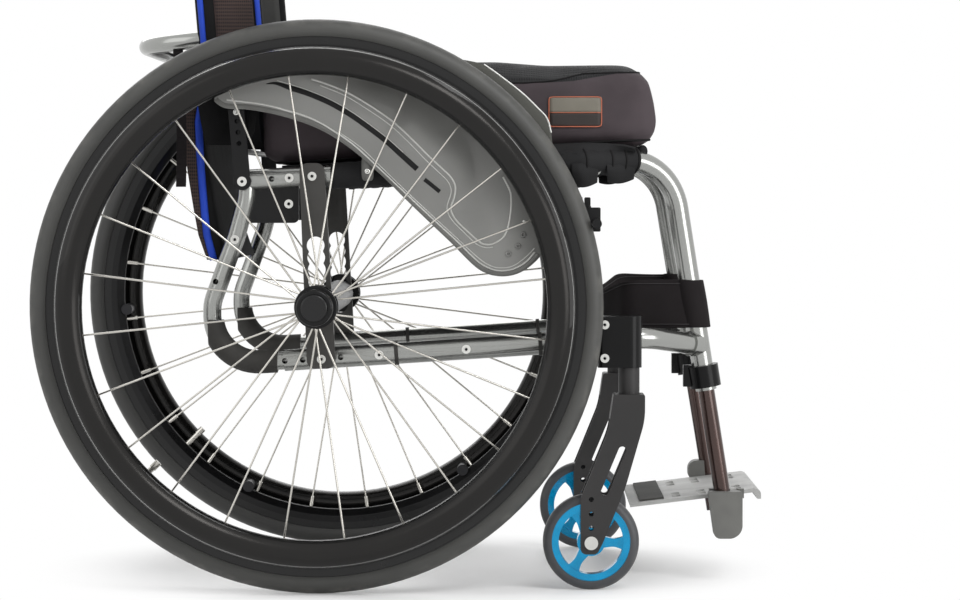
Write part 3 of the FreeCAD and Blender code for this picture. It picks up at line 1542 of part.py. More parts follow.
write("caster_housings", both(caster_housing(lower_form_left)))
write("stem_bearings", both(Part.makeCompound(stem_bearings())))
write_pair("fork", fork())
write_pair("caster_rim", caster_rim())
write_pair("caster_tyre", caster_tyre())
write_pair("caster_axle_set", Part.makeCompound(caster_axle_set()))

write("footrest_clamps", both(footrest_clamp(front_form_left)))
write("footrest_tubes", both(footrest_tube()))
write("footplate", footplate())
write("footplate_pad", footplate_pad())
write("footplate_hinge_base", footplate_hinge_base())
write("footplate_rest_hook", footplate_rest_hook())
write("calf_strap", calf_strap())

write_pair("side_guard", side_guard(front_form_left))
write("seat_sling", seat_sling())
write("seat_cushion", seat_cushion())

write("back_brackets", both(back_bracket()))
write("back_canes", both(back_cane()))
write("rigidizer_bar", rigidizer_bar())
write("back_release_rod", release_rod())
write("back_upholstery", back_upholstery())

write("brake_mounts", both(brake_mount(front_form_left)))
write_pair("brake_shoe", brake_shoe())
write_pair("brake_lever", brake_lever())
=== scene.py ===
"""Looks of the active wheelchair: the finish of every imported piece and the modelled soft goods.

Metres, +X forward, +Y the sitter's left, +Z up, floor at z = 0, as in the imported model.
"""

import logging
import math
from dataclasses import dataclass
from enum import Enum
from typing import Callable, Dict, List, Optional, Sequence, Tuple, Union

import bmesh
import bpy
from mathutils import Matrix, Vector
from mathutils.bvhtree import BVHTree


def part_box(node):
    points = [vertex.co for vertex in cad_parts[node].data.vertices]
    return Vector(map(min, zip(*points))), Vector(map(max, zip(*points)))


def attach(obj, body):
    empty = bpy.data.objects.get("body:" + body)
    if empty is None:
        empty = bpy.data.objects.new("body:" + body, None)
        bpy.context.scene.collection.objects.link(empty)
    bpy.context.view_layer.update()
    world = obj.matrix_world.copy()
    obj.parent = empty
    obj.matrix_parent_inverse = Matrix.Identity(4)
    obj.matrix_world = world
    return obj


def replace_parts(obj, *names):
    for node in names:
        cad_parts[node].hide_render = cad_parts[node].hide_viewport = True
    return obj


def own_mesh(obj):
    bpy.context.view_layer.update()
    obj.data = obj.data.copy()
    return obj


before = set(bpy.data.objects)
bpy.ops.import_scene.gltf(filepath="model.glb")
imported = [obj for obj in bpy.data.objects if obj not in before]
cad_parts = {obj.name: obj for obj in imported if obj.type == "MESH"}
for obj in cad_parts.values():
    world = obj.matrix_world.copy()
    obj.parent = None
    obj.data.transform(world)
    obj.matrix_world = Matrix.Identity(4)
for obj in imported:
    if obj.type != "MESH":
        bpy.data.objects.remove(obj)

Colour = Tuple[float, float, float]
Setting = Union[str, bool, int, float, Sequence]
Point = Tuple[float, float, float]

WHITE = (1.0, 1.0, 1.0, 1.0)
AXLE = (-0.086, 0.0, 0.295)

log = logging.getLogger("wheelchair")


def from_screen(red: int, green: int, blue: int) -> Colour:
    """Turn an 8-bit screen colour into the linear values that a shader takes.

    Args:
        red: Red from 0 to 255.
        green: Green from 0 to 255.
        blue: Blue from 0 to 255.

    Returns:
        The linear red, green and blue.
    """
    return tuple((part / 255.0) ** 2.2 for part in (red, green, blue))


class Side(Enum):
    """One side of the chair, named from the sitter's seat."""

    LEFT = 1
    RIGHT = -1

    @property
    def word(self) -> str:
        """The side as it stands in the names of nodes."""
        return self.name.lower()


class Channel:
    """A shader socket on which Python's operators add Math nodes."""

    def __init__(self, board: "Tree", socket: bpy.types.NodeSocket) -> None:
        """Keep the socket and the tree that it lies on.

        Args:
            board: The tree that new nodes go on.
            socket: The output socket.
        """
        self.board = board
        self.socket = socket

    def _math(self, operation: str, first: "Number", second: "Number" = 0.0) -> "Channel":
        """Add one Math node.

        Args:
            operation: The node's operation.
            first: Its first value.
            second: Its second value.

        Returns:
            The node's result.
        """
        return self.board.node("ShaderNodeMath", {"operation": operation}, {0: first, 1: second})

    def __add__(self, other: "Number") -> "Channel":
        """This plus the other."""
        return self._math("ADD", self, other)

    def __radd__(self, other: "Number") -> "Channel":
        """The other plus this."""
        return self._math("ADD", other, self)

    def __sub__(self, other: "Number") -> "Channel":
        """This less the other."""
        return self._math("SUBTRACT", self, other)

    def __rsub__(self, other: "Number") -> "Channel":
        """The other less this."""
        return self._math("SUBTRACT", other, self)

    def __mul__(self, other: "Number") -> "Channel":
        """This times the other."""
        return self._math("MULTIPLY", self, other)

    def __rmul__(self, other: "Number") -> "Channel":
        """The other times this."""
        return self._math("MULTIPLY", other, self)

    def __truediv__(self, other: "Number") -> "Channel":
        """This over the other."""
        return self._math("DIVIDE", self, other)

    def __pow__(self, other: "Number") -> "Channel":
        """This to the power of the other."""
        return self._math("POWER", self, other)

    def __abs__(self) -> "Channel":
        """This without its sign."""
        return self._math("ABSOLUTE", self)

    def __gt__(self, other: "Number") -> "Channel":
        """One where this is over the other, and else nought."""
        return self._math("GREATER_THAN", self, other)

    def __lt__(self, other: "Number") -> "Channel":
        """One where this is under the other, and else nought."""
        return self._math("LESS_THAN", self, other)

    def either(self, other: "Number") -> "Channel":
        """The greater of this and the other."""
        return self._math("MAXIMUM", self, other)

    def sine(self) -> "Channel":
        """The sine of this, in radians."""
        return self._math("SINE", self)

    def within(self, low: float, high: float) -> "Channel":
        """A mask of where this lies between two values.

        Args:
            low: The lower value.
            high: The upper value.

        Returns:
            One between them, and else nought.
        """
        return (self > low) * (self < high)

    def ramp(self, low: float, high: float) -> "Channel":
        """Rise smoothly from nought to one between two values.

        Args:
            low: Where the rise starts.
            high: Where it ends.

        Returns:
            The risen value.
        """
        settings = {"interpolation_type": "SMOOTHSTEP"}
        return self.board.node("ShaderNodeMapRange", settings, {0: self, 1: low, 2: high, 3: 0.0, 4: 1.0})


Number = Union[Channel, float]


class Tree:
    """The nodes of the world or of a material."""

    def __init__(self, tree: bpy.types.NodeTree) -> None:
        """Take a tree.

        Args:
            tree: Blender's tree.
        """
        self.tree = tree

    def node(
        self,
        kind: str,
        settings: Optional[Dict[str, Setting]] = None,
        values: Optional[Dict[Union[int, str], Union[Channel, float, Sequence]]] = None,
        output: Union[int, str] = 0,
    ) -> Channel:
        """Make one node.

        Args:
            kind: The node's type.
            settings: Its settings.
            values: What its sockets hold or are linked to.
            output: The socket that is handed back.

        Returns:
            That output.
        """
        made = self.tree.nodes.new(kind)
        for name, value in (settings or {}).items():
            setattr(made, name, value)
        for key, value in (values or {}).items():
            if isinstance(value, Channel):
                self.link(value, made.inputs[key])
            else:
                made.inputs[key].default_value = value
        return Channel(self, made.outputs[output])

    def link(self, source: Channel, target: bpy.types.NodeSocket) -> None:
        """Lead an output to an input."""
        self.tree.links.new(source.socket, target)

    def background(self) -> Channel:
        """One for the rays that show the background: the camera's, and those of gloss and glass.

        Returns:
            The mask.
        """
        names = ("Is Camera Ray", "Is Glossy Ray", "Is Transmission Ray")
        seen, gloss, glass = (self.node("ShaderNodeLightPath", output=name) for name in names)
        return seen.either(gloss).either(glass)


class Board(Tree):
    """The node tree of one material."""

    def __init__(self, name: str) -> None:
        """Start a material with its shader and output.

        Args:
            name: The material's name.
        """
        self.material = bpy.data.materials.new(name)
        self.material.use_nodes = True
        super().__init__(self.material.node_tree)
        self.shader = self.tree.nodes["Principled BSDF"]
        self.place = self.node("ShaderNodeTexCoord", output="Object")
        self.x, self.y, self.z = self.apart(self.place)

    def apart(self, vector: Channel) -> List[Channel]:
        """The three coordinates of a vector."""
        return [self.node("ShaderNodeSeparateXYZ", values={0: vector}, output=i) for i in range(3)]

    def noise(self, scale: float, detail: float = 3.0, stretch: Point = (1.0, 1.0, 1.0)) -> Channel:
        """Noise over the piece's own coordinates.

        Args:
            scale: Its scale, in waves to the metre.
            detail: How many finer layers it has.
            stretch: How much finer it is along each axis.

        Returns:
            The noise, from 0 to 1.
        """
        place = self.node("ShaderNodeVectorMath", {"operation": "MULTIPLY"}, {0: self.place, 1: stretch})
        return self.node("ShaderNodeTexNoise", values={"Vector": place, "Scale": scale, "Detail": detail})

    def mix(self, share: Number, first: Union[Channel, Colour], second: Union[Channel, Colour]) -> Channel:
        """Mix two colours.

        Args:
            share: The share of the second.
            first: The first colour.
            second: The second colour.

        Returns:
            The mixed colour.
        """
        ends = [value if isinstance(value, Channel) else (*value, 1.0) for value in (first, second)]
        return self.node("ShaderNodeMix", {"data_type": "RGBA"}, {0: share, 6: ends[0], 7: ends[1]}, 2)

    def facing(self) -> Tuple[Channel, Channel]:
        """Two coordinates that lie in the surface, whichever way it faces.

        Returns:
            The place along and the place across, in metres.
        """
        nx, ny, nz = (abs(part) for part in self.apart(self.node("ShaderNodeTexCoord", output="Normal")))
        front = (nx > ny) * (nx > nz)
        top = (nz > nx) * (nz > ny)
        along = self.x + (self.y - self.x) * front
        across = self.z + (self.y - self.z) * top
        return along, across

    def radius(self, centre: Point) -> Channel:
        """Distance from a line parallel to the axle.

        Args:
            centre: A point on the line.

        Returns:
            The distance in metres.
        """
        off_x = self.x - centre[0]
        off_z = self.z - centre[2]
        return (off_x * off_x + off_z * off_z) ** 0.5

    def finish(self, colour: Channel, roughness: Channel, height: Channel, relief: float) -> None:
        """Feed the shader what varies over the surface.

        Args:
            colour: The base colour.
            roughness: The roughness.
            height: The relief's height, from 0 to 1.
            relief: How high one stands, in metres.
        """
        bump = self.node("ShaderNodeBump", values={"Height": height, "Distance": relief, "Strength": 1.0})
        for key, value in (("Base Color", colour), ("Roughness", roughness), ("Normal", bump)):
            self.link(value, self.shader.inputs[key])


@dataclass(frozen=True)
class Finish:
    """A moulded, painted or rubbed surface: cloudy colour and gloss over a fine grain."""

    name: str
    colour: Colour
    roughness: float
    metallic: float = 0.0
    coat: float = 0.0
    cloud: float = 0.14
    cloud_scale: float = 22.0
    grain_scale: float = 1400.0
    relief: float = 0.00004
    rubbed: float = 0.08
    specular: float = 0.5

    def tone(self, board: Board) -> Channel:
        """The base colour with its slow variation.

        Args:
            board: The material's board.

        Returns:
            The colour.
        """
        dark = tuple(part * (1.0 - self.cloud) for part in self.colour)
        pale = tuple(min(1.0, part * (1.0 + self.cloud)) for part in self.colour)
        return board.mix(board.noise(self.cloud_scale).ramp(0.3, 0.7), dark, pale)

    def gloss(self, board: Board) -> Channel:
        """The roughness, uneven from handling.

        Args:
            board: The material's board.

        Returns:
            The roughness.
        """
        return (board.noise(self.cloud_scale * 2.3, 5.0) - 0.5) * (self.rubbed * 2.0) + self.roughness

    def grain(self, board: Board) -> Channel:
        """The height of the fine grain.

        Args:
            board: The material's board.

        Returns:
            The height, from 0 to 1.
        """
        return board.noise(self.grain_scale, 2.0)

    def depth(self) -> float:
        """How deep the relief is, in metres."""
        return self.relief

    def board(self) -> Board:
        """Lay out the shader.

        Returns:
            The board with the finished shader.
        """
        board = Board(self.name)
        for key, value in (("Metallic", self.metallic), ("Coat Weight", self.coat),
                           ("Specular IOR Level", self.specular)):
            board.shader.inputs[key].default_value = value
        board.finish(self.tone(board), self.gloss(board), self.grain(board), self.depth())
        return board


@dataclass(frozen=True)
class Brushed(Finish):
    """Metal with fine lines along one axis."""

    stretch: Point = (0.05, 1.0, 1.0)

    def grain(self, board: Board) -> Channel:
        """The height of the brushed lines."""
        return board.noise(self.grain_scale, 2.0, self.stretch)


@dataclass(frozen=True)
class Tyre(Finish):
    """Slick tyre: fine ribs round its sides, dusty tread, a painted highlight line near the rim, painted shade
    on its foot and inner side.
    """

    centre: Point = AXLE
    tread_radius: float = 0.289
    rib_pitch: float = 0.0024
    # Pale grey of the dusty tread, also the colour of the painted highlight line near the rim.
    dust_and_highlight: Colour = (0.16, 0.155, 0.14)
    # Painted shade on the tyre's inner side, nearer the middle than inner_from.
    inner_from: float = 0.258
    inner_shade: float = 0.5
    # Radii of the thin painted highlight line near the rim.
    bead: Tuple[float, float] = (0.2762, 0.2770)
    # Painted shade darkens the tyre's foot below these radii, beside the rim.
    foot: Tuple[float, float] = (0.2750, 0.2765)
    foot_shade: float = 0.85
    # The near black that the painted shade goes towards.
    painted_shade_black: Colour = (0.010, 0.010, 0.010)

    def tone(self, board: Board) -> Channel:
        """Rubber, with a dusty tread, a painted highlight line near the rim and painted shade on the foot and
        inner side.

        Args:
            board: The material's board.

        Returns:
            The colour.
        """
        radius = board.radius(self.centre)
        tread = radius.ramp(self.tread_radius - 0.003, self.tread_radius + 0.003)
        dusty = board.noise(60.0, 6.0).ramp(0.42, 0.75) * tread * 0.35
        # Painted highlight: a thin pale line near the rim.
        bead = radius.within(*self.bead) * self.foot_shade
        # Painted shade: the inner side and the foot beside the rim go towards near black.
        inside = 1.0 - abs(board.y).ramp(self.inner_from, self.inner_from + 0.004)
        foot = 1.0 - radius.ramp(*self.foot)
        shade = 1.0 - (1.0 - inside * self.inner_shade) * (1.0 - foot * self.foot_shade)
        body = board.mix(shade, board.mix(dusty, super().tone(board), self.dust_and_highlight), self.painted_shade_black)
        return board.mix(bead, body, self.dust_and_highlight)

    def grain(self, board: Board) -> Channel:
        """Fine ribs round the sides over the grain.

        Args:
            board: The material's board.

        Returns:
            The height, from 0 to 1.
        """
        radius = board.radius(self.centre)
        ribs = (radius * (2.0 * math.pi / self.rib_pitch)).sine() * 0.5 + 0.5
        side = radius.within(self.tread_radius - 0.008, self.tread_radius - 0.003)
        return board.noise(self.grain_scale, 2.0) * 0.6 + ribs * side * 0.4


@dataclass(frozen=True)
class RingLine(Finish):
    """Coated push ring: a domed face that catches the light, and one thin painted highlight line round its
    outer edge.
    """

    centre: Point = AXLE
    middle: float = 0.2515
    half_width: float = 0.0148
    highlight_from: float = 0.2637
    highlight_to: float = 0.2643
    # Colour of the painted highlight line round the outer edge.
    line: Colour = (0.42, 0.42, 0.41)
    dome: float = 0.005

    def tone(self, board: Board) -> Channel:
        """The coat, with the painted highlight line."""
        # Painted highlight: a thin pale line round the ring's outer edge.
        mask = board.radius(self.centre).within(self.highlight_from, self.highlight_to)
        return board.mix(mask, super().tone(board), self.line)

    def grain(self, board: Board) -> Channel:
        """The dome of the face with a fine grain on it."""
        off = (board.radius(self.centre) - self.middle) / self.half_width
        return (1.0 - off * off) + board.noise(self.grain_scale, 2.0) * (self.relief / self.dome)

    def depth(self) -> float:
        """As deep as the dome."""
        return self.dome


@dataclass(frozen=True)
class PaleFloor(Finish):
    """Studio floor that takes the chair's shadow and fades into the white background away from it."""

    fade_from: float = 0.24
    fade_to: float = 0.42

    def board(self) -> Board:
        """The lit floor, mixed with plain white for rays that show the background.

        Returns:
            The board with the finished shader.
        """
        board = super().board()
        away = (board.x * board.x + board.y * board.y) ** 0.5
        share = board.background() * away.ramp(self.fade_from, self.fade_to)
        white = board.node("ShaderNodeEmission", values={"Color": WHITE, "Strength": 1.0})
        lit = Channel(board, board.shader.outputs[0])
        mixed = board.node("ShaderNodeMixShader", values={0: share, 1: lit, 2: white})
        board.link(mixed, board.tree.nodes["Material Output"].inputs["Surface"])
        return board


@dataclass(frozen=True)
class RimBand(Finish):
    """Black rim with an even darker outer flange beside the tyre."""

    centre: Point = AXLE
    flange_from: float = 0.2690
    flange: Colour = (0.014, 0.014, 0.014)

    def tone(self, board: Board) -> Channel:
        """Black, and darker on the flange."""
        return board.mix(board.radius(self.centre) > self.flange_from, super().tone(board), self.flange)


@dataclass(frozen=True)
class Guard(Finish):
    """Moulded guard with slow random tones, painted shade near the push ring, and darker where its fender
    stands beyond the tyre.
    """

    centre: Point = AXLE
    fender_from: float = 0.2885
    fender: Colour = from_screen(74, 74, 69)
    # Painted shade on the face from the push ring's radius outwards, ahead of the axle.
    rim_shade_from: float = 0.190
    rim_shade_to: float = 0.245
    rim_shade: Colour = from_screen(88, 88, 85)
    rim_shade_share: float = 0.8
    rim_shade_x: Tuple[float, float] = (-0.09, -0.02)

    def tone(self, board: Board) -> Channel:
        """The moulding's colour, with painted shade near the push ring, and darker on the fender.

        Args:
            board: The material's board.

        Returns:
            The colour.
        """
        shade = board.noise(5.0, 1.0).ramp(0.35, 0.65)
        body = board.mix(shade, super().tone(board), tuple(part * 0.82 for part in self.colour))
        radius = board.radius(self.centre)
        # Painted shade near the push ring, ahead of the axle.
        under = radius.ramp(self.rim_shade_from, self.rim_shade_to) * board.x.ramp(*self.rim_shade_x) * self.rim_shade_share
        past = radius.ramp(self.fender_from, self.fender_from + 0.003)
        return board.mix(past, board.mix(under, body, self.rim_shade), self.fender)


@dataclass(frozen=True)
class Woven(Finish):
    """Plain woven cloth: threads over and under each other, with worn high spots."""

    pitch: float = 0.0022
    worn: float = 0.35

    def weave(self, board: Board) -> Channel:
        """Height of the threads.

        Args:
            board: The material's board.

        Returns:
            The height, from 0 to 1.
        """
        along, across = board.facing()
        turn = 2.0 * math.pi / self.pitch
        return (along * turn).sine() * (across * turn).sine() * 0.5 + 0.5

    def tone(self, board: Board) -> Channel:
        """The cloth's colour, paler where its threads stand up."""
        pale = tuple(min(1.0, part * 1.7 + 0.01) for part in self.colour)
        return board.mix(self.weave(board) * self.worn, super().tone(board), pale)

    def grain(self, board: Board) -> Channel:
        """Threads over fine fibre."""
        return self.weave(board) * 0.8 + board.noise(self.grain_scale, 2.0) * 0.2


@dataclass(frozen=True)
class SpacerMesh(Woven):
    """Knitted spacer mesh: rows of small round holes, each row set off from the last."""

    hole: Colour = (0.006, 0.006, 0.007)

    def weave(self, board: Board) -> Channel:
        """Height of the knit, low in each hole.

        Args:
            board: The material's board.

        Returns:
            The height, from 0 to 1.
        """
        along, across = board.facing()
        turn = 2.0 * math.pi / self.pitch
        first = (along * turn + across * (turn * 0.6)).sine()
        second = (along * turn - across * (turn * 0.6)).sine()
        return (first * second * 0.5 + 0.5).ramp(0.12, 0.6)

    def tone(self, board: Board) -> Channel:
        """Knit with dark holes."""
        return board.mix(self.weave(board), self.hole, Finish.tone(self, board))


@dataclass(frozen=True)
class CushionCover(Woven):
    """Cushion cover: smooth cloth at the sides and spacer mesh above a seam that dips to the rear."""

    mesh: SpacerMesh = SpacerMesh("cover_mesh", from_screen(40, 40, 41), 0.85, pitch=0.0052, specular=0.25)
    seam_line: Tuple[Tuple[float, float], ...] = (
        (-0.16, 0.5270), (0.147, 0.5275), (0.179, 0.5293), (0.203, 0.5335), (0.224, 0.5372), (0.27, 0.5385),
    )

    def seam(self, place: float) -> float:
        """Height of the seam at a place along the chair.

        Args:
            place: The place in metres.

        Returns:
            The height in metres.
        """
        line = self.seam_line
        for (x0, z0), (x1, z1) in zip(line, line[1:]):
            if place <= x1:
                return z0 + (z1 - z0) * max(0.0, place - x0) / (x1 - x0)
        return line[-1][1]

    def above(self, board: Board) -> Channel:
        """A mask of the mesh top.

        Args:
            board: The material's board.

        Returns:
            The mask.
        """
        line = self.seam_line
        height: Number = line[0][1]
        for (x0, z0), (x1, z1) in zip(line, line[1:]):
            values = {0: board.x, 1: x0, 2: x1, 3: 0.0, 4: z1 - z0}
            height = board.node("ShaderNodeMapRange", {"clamp": True}, values) + height
        return board.z > height

    def tone(self, board: Board) -> Channel:
        """Side cloth below the seam and mesh above it."""
        return board.mix(self.above(board), super().tone(board), self.mesh.tone(board))

    def grain(self, board: Board) -> Channel:
        """Threads below the seam and knit above it."""
        top = self.above(board)
        return super().grain(board) * (1.0 - top) * 0.3 + self.mesh.weave(board) * top


class Finishes:
    """Every finish of the chair, each made once."""

    silver = Finish("silver_frame", from_screen(156, 157, 154), 0.21, metallic=0.9, coat=0.15, cloud=0.02,
                    grain_scale=900.0, relief=0.000002, rubbed=0.02)
    plate = Finish("dark_axle_plate", from_screen(64, 63, 61), 0.36, metallic=0.5, coat=0.1)
    black_metal = Finish("black_plate", from_screen(22, 22, 23), 0.36, metallic=0.3, coat=0.1, specular=0.3)
    housing = Finish("black_housing", from_screen(14, 14, 15), 0.34, metallic=0.2, coat=0.1, specular=0.2)
    fork = Finish("charcoal_fork", from_screen(44, 43, 43), 0.48, metallic=0.2,
                  grain_scale=1800.0, relief=0.00006)
    rim = RimBand("black_rim", from_screen(20, 20, 21), 0.30, metallic=0.4, coat=0.2, specular=0.35)
    handrim = RingLine("satin_handrim", from_screen(36, 35, 34), 0.22, metallic=0.85, coat=0.3,
                       cloud=0.06, rubbed=0.04)
    tab = Finish("handrim_fixing", from_screen(52, 52, 54), 0.35, metallic=0.6)
    steel = Brushed("stainless_spoke", from_screen(196, 193, 186), 0.22, metallic=1.0, cloud=0.06)
    hub = Finish("black_hub", from_screen(12, 12, 13), 0.30, metallic=0.3, coat=0.15, specular=0.3)
    button = Finish("black_button", from_screen(14, 14, 15), 0.28, coat=0.25, specular=0.3)
    bearing = Brushed("bearing_steel", from_screen(180, 180, 182), 0.2, metallic=1.0)
    bolt = Finish("bolt_steel", from_screen(212, 212, 208), 0.24, metallic=1.0, cloud=0.1)
    # Near-white socket floors: painted light that keeps them bright inside their recess.
    socket = Finish("bolt_socket", from_screen(225, 225, 222), 0.6, specular=0.3)
    tyre = Tyre("slick_rubber", from_screen(66, 66, 64), 0.52, cloud=0.08, relief=0.00006)
    caster_tyre = Tyre("caster_rubber", from_screen(62, 63, 66), 0.46, cloud=0.08, centre=(0.197, 0.0, 0.05),
                       tread_radius=0.047, inner_from=-1.0, foot_shade=0.0)
    caster_rim = Finish("blue_anodised", from_screen(12, 140, 188), 0.18, metallic=0.9, coat=0.5, cloud=0.12,
                        cloud_scale=45.0)
    sleeve = Finish("rubber_sleeve", from_screen(58, 57, 55), 0.7, relief=0.0001, specular=0.3)
    guard = Guard("moulded_guard", from_screen(140, 140, 137), 0.34, metallic=0.15, coat=0.15, cloud=0.06,
                  grain_scale=2200.0, relief=0.00003)
    guard_border = Finish("guard_border", from_screen(104, 104, 101), 0.4, grain_scale=2200.0)
    # Pale colour of the raised lines: painted highlight on real ridges.
    guard_line = Finish("guard_line", from_screen(200, 200, 196), 0.3, cloud=0.05, coat=0.2)
    # Bright line along the fender's edge: a painted highlight.
    guard_edge_highlight = Finish("guard_edge_highlight", from_screen(232, 232, 228), 0.3, cloud=0.03, coat=0.3)
    # Near-black strip laid on the face: painted shade of the slot and its end.
    guard_strip = Finish("guard_strip", from_screen(16, 16, 17), 0.5, specular=0.3)
    footplate = Finish("grey_footplate", from_screen(168, 168, 166), 0.5, grain_scale=1700.0, relief=0.00008)
    pad = Finish("footplate_grip", from_screen(68, 68, 66), 0.85, grain_scale=700.0, relief=0.00025)
    hinge = Finish("grey_moulding", from_screen(98, 98, 95), 0.5, relief=0.00008)
    foot_tube = Brushed("brown_tube", from_screen(66, 50, 46), 0.22, metallic=0.7, coat=0.5,
                        stretch=(1.0, 1.0, 0.05))
    sling = Woven("sling_nylon", from_screen(32, 32, 33), 0.8, pitch=0.0022, relief=0.0002, specular=0.25)
    cover = CushionCover("cushion_cover", from_screen(67, 60, 63), 0.75, pitch=0.0014, relief=0.0004, worn=0.1,
                         specular=0.3)
    seam = Woven("seam_tape", from_screen(20, 19, 20), 0.75, pitch=0.0012, relief=0.0001, specular=0.25)
    back_cloth = Woven("back_cloth", from_screen(17, 17, 18), 0.8, pitch=0.0022, relief=0.0002, specular=0.2)
    lining = Woven("wing_lining", from_screen(66, 66, 65), 0.75, pitch=0.0016, relief=0.00012, worn=0.1,
                   specular=0.3)
    back_panel = SpacerMesh("back_panel", from_screen(66, 54, 51), 0.8, pitch=0.0044, relief=0.0003,
                            specular=0.3)
    piping = Woven("blue_piping", from_screen(32, 66, 176), 0.55, pitch=0.0014, relief=0.00012, worn=0.2,
                   specular=0.3)
    strap = Woven("calf_strap", from_screen(30, 27, 28), 0.85, pitch=0.0018, relief=0.00015, worn=0.15,
                  specular=0.2)
    thread = Woven("stitching", from_screen(48, 46, 47), 0.7, pitch=0.001, relief=0.00008, specular=0.3)
    patch = Woven("patch_cloth", from_screen(112, 108, 98), 0.65, pitch=0.0011, relief=0.0001)
    patch_dark = Woven("patch_lower", from_screen(42, 36, 34), 0.6, pitch=0.0011, relief=0.0001)
    patch_edge = Woven("patch_border", from_screen(172, 96, 72), 0.6, pitch=0.001, relief=0.0001)

    _made: Dict[str, bpy.types.Material] = {}

    @classmethod
    def of(cls, finish: Finish) -> bpy.types.Material:
        """The material of a finish.

        Args:
            finish: The finish.

        Returns:
            Its material, made on first use.
        """
        if finish.name not in cls._made:
            cls._made[finish.name] = finish.board().material
        return cls._made[finish.name]


class Shape:
    """Meshes that the soft pieces are built from."""

    @staticmethod
    def soften(mesh: bpy.types.Mesh) -> None:
        """Shade a mesh smooth."""
        mesh.polygons.foreach_set("use_smooth", [True] * len(mesh.polygons))

    @classmethod
    def piece(cls, name: str, verts: Sequence[Vector], faces: Sequence[Sequence[int]],
              finish: Finish) -> bpy.types.Object:
        """Make an object from points and faces.

        Args:
            name: The piece's name.
            verts: Its points.
            faces: Its faces, as indices of points.
            finish: Its finish.

        Returns:
            The object.
        """
        mesh = bpy.data.meshes.new(name)
        mesh.from_pydata([tuple(v) for v in verts], [], [tuple(f) for f in faces])
        form = bmesh.new()
        form.from_mesh(mesh)
        bmesh.ops.recalc_face_normals(form, faces=form.faces)
        form.to_mesh(mesh)
        form.free()
        cls.soften(mesh)
        made = bpy.data.objects.new(name, mesh)
        bpy.context.scene.collection.objects.link(made)
        mesh.materials.append(Finishes.of(finish))
        return made

    @classmethod
    def loft(cls, name: str, rings: Sequence[Sequence[Vector]], finish: Finish, around: bool = True,
             capped: bool = True) -> bpy.types.Object:
        """Skin a row of rings that have equally many points.

        Args:
            name: The piece's name.
            rings: The rings, in order.
            finish: The finish.
            around: Whether each ring is closed.
            capped: Whether closed rings get end faces.

        Returns:
            The object.
        """
        count = len(rings[0])
        verts = [point for ring in rings for point in ring]
        steps = count if around else count - 1
        faces = []
        for row in range(len(rings) - 1):
            for i in range(steps):
                j = (i + 1) % count
                faces.append((row * count + i, row * count + j, (row + 1) * count + j, (row + 1) * count + i))
        if around and capped:
            faces.append(tuple(range(count)))
            faces.append(tuple((len(rings) - 1) * count + i for i in range(count)))
        return cls.piece(name, verts, faces, finish)

    @classmethod
    def skin(cls, name: str, rows: Sequence[Sequence[Vector]], finish: Finish, thickness: float,
             bevel: float = 0.0) -> bpy.types.Object:
        """Skin open rows of points and give the skin a thickness.

        Args:
            name: The piece's name.
            rows: The rows, in order.
            finish: The finish.
            thickness: The skin's thickness.
            bevel: The rounding of its edges.

        Returns:
            The piece.
        """
        made = cls.loft(name, rows, finish, around=False)
        cls.thicken(made, thickness, bevel)
        return made

    @classmethod
    def cloth(cls, name: str, squares: Tuple[int, int], point: Callable[[float, float], Vector], finish: Finish,
              thickness: float, bevel: float = 0.0) -> bpy.types.Object:
        """Make a skin from a rule that places its points.

        Args:
            name: The piece's name.
            squares: How many squares it has down and across.
            point: The place for each share of the way down and across.
            finish: The finish.
            thickness: The skin's thickness.
            bevel: The rounding of its edges.

        Returns:
            The piece.
        """
        down, across = squares
        rows = [[point(i / down, j / across) for j in range(across + 1)] for i in range(down + 1)]
        return cls.skin(name, rows, finish, thickness, bevel)

    @classmethod
    def rope(cls, name: str, path: Sequence[Vector], radius: float, finish: Finish, closed: bool = False,
             sides: int = 8, flat: float = 1.0, taper: int = 1) -> bpy.types.Object:
        """Run a round or flattened section along a path.

        Args:
            name: The piece's name.
            path: The points that it follows.
            radius: Its radius.
            finish: The finish.
            closed: Whether the path is a loop.
            sides: How many points its section has.
            flat: The section's height as a share of its width.
            taper: How many of the first points its height grows over.

        Returns:
            The object.
        """
        count = len(path)
        rings = []
        side = None
        turns = [2.0 * math.pi * k / sides for k in range(sides)]
        for i, point in enumerate(path):
            before = path[(i - 1) % count] if closed or i > 0 else point
            after = path[(i + 1) % count] if closed or i < count - 1 else point
            along = (after - before).normalized()
            if side is None:
                helper = Vector((0, 0, 1)) if abs(along.z) < 0.9 else Vector((1, 0, 0))
                side = along.cross(helper).normalized()
            side = (side - along * side.dot(along)).normalized()
            up = along.cross(side)
            tall = radius * flat * min(1.0, (i + 1) / taper)
            rings.append([point + side * (radius * math.cos(t)) + up * (tall * math.sin(t)) for t in turns])
        if closed:
            rings.append(rings[0])
        made = cls.loft(name, rings, finish, capped=not closed)
        if closed:
            form = bmesh.new()
            form.from_mesh(made.data)
            bmesh.ops.remove_doubles(form, verts=form.verts, dist=1e-7)
            form.to_mesh(made.data)
            form.free()
        return made

    @staticmethod
    def rounded(half_width: float, half_height: float, power: float, count: int) -> List[Tuple[float, float]]:
        """Points of a rounded rectangle.

        Args:
            half_width: Half its width.
            half_height: Half its height.
            power: How square it is; 2 is an ellipse.
            count: How many points it has.

        Returns:
            The points about its centre.
        """
        points = []
        for i in range(count):
            turn = 2.0 * math.pi * (i + 0.5) / count
            c, s = math.cos(turn), math.sin(turn)
            points.append((math.copysign(abs(c) ** (2.0 / power), c) * half_width,
                           math.copysign(abs(s) ** (2.0 / power), s) * half_height))
        return points

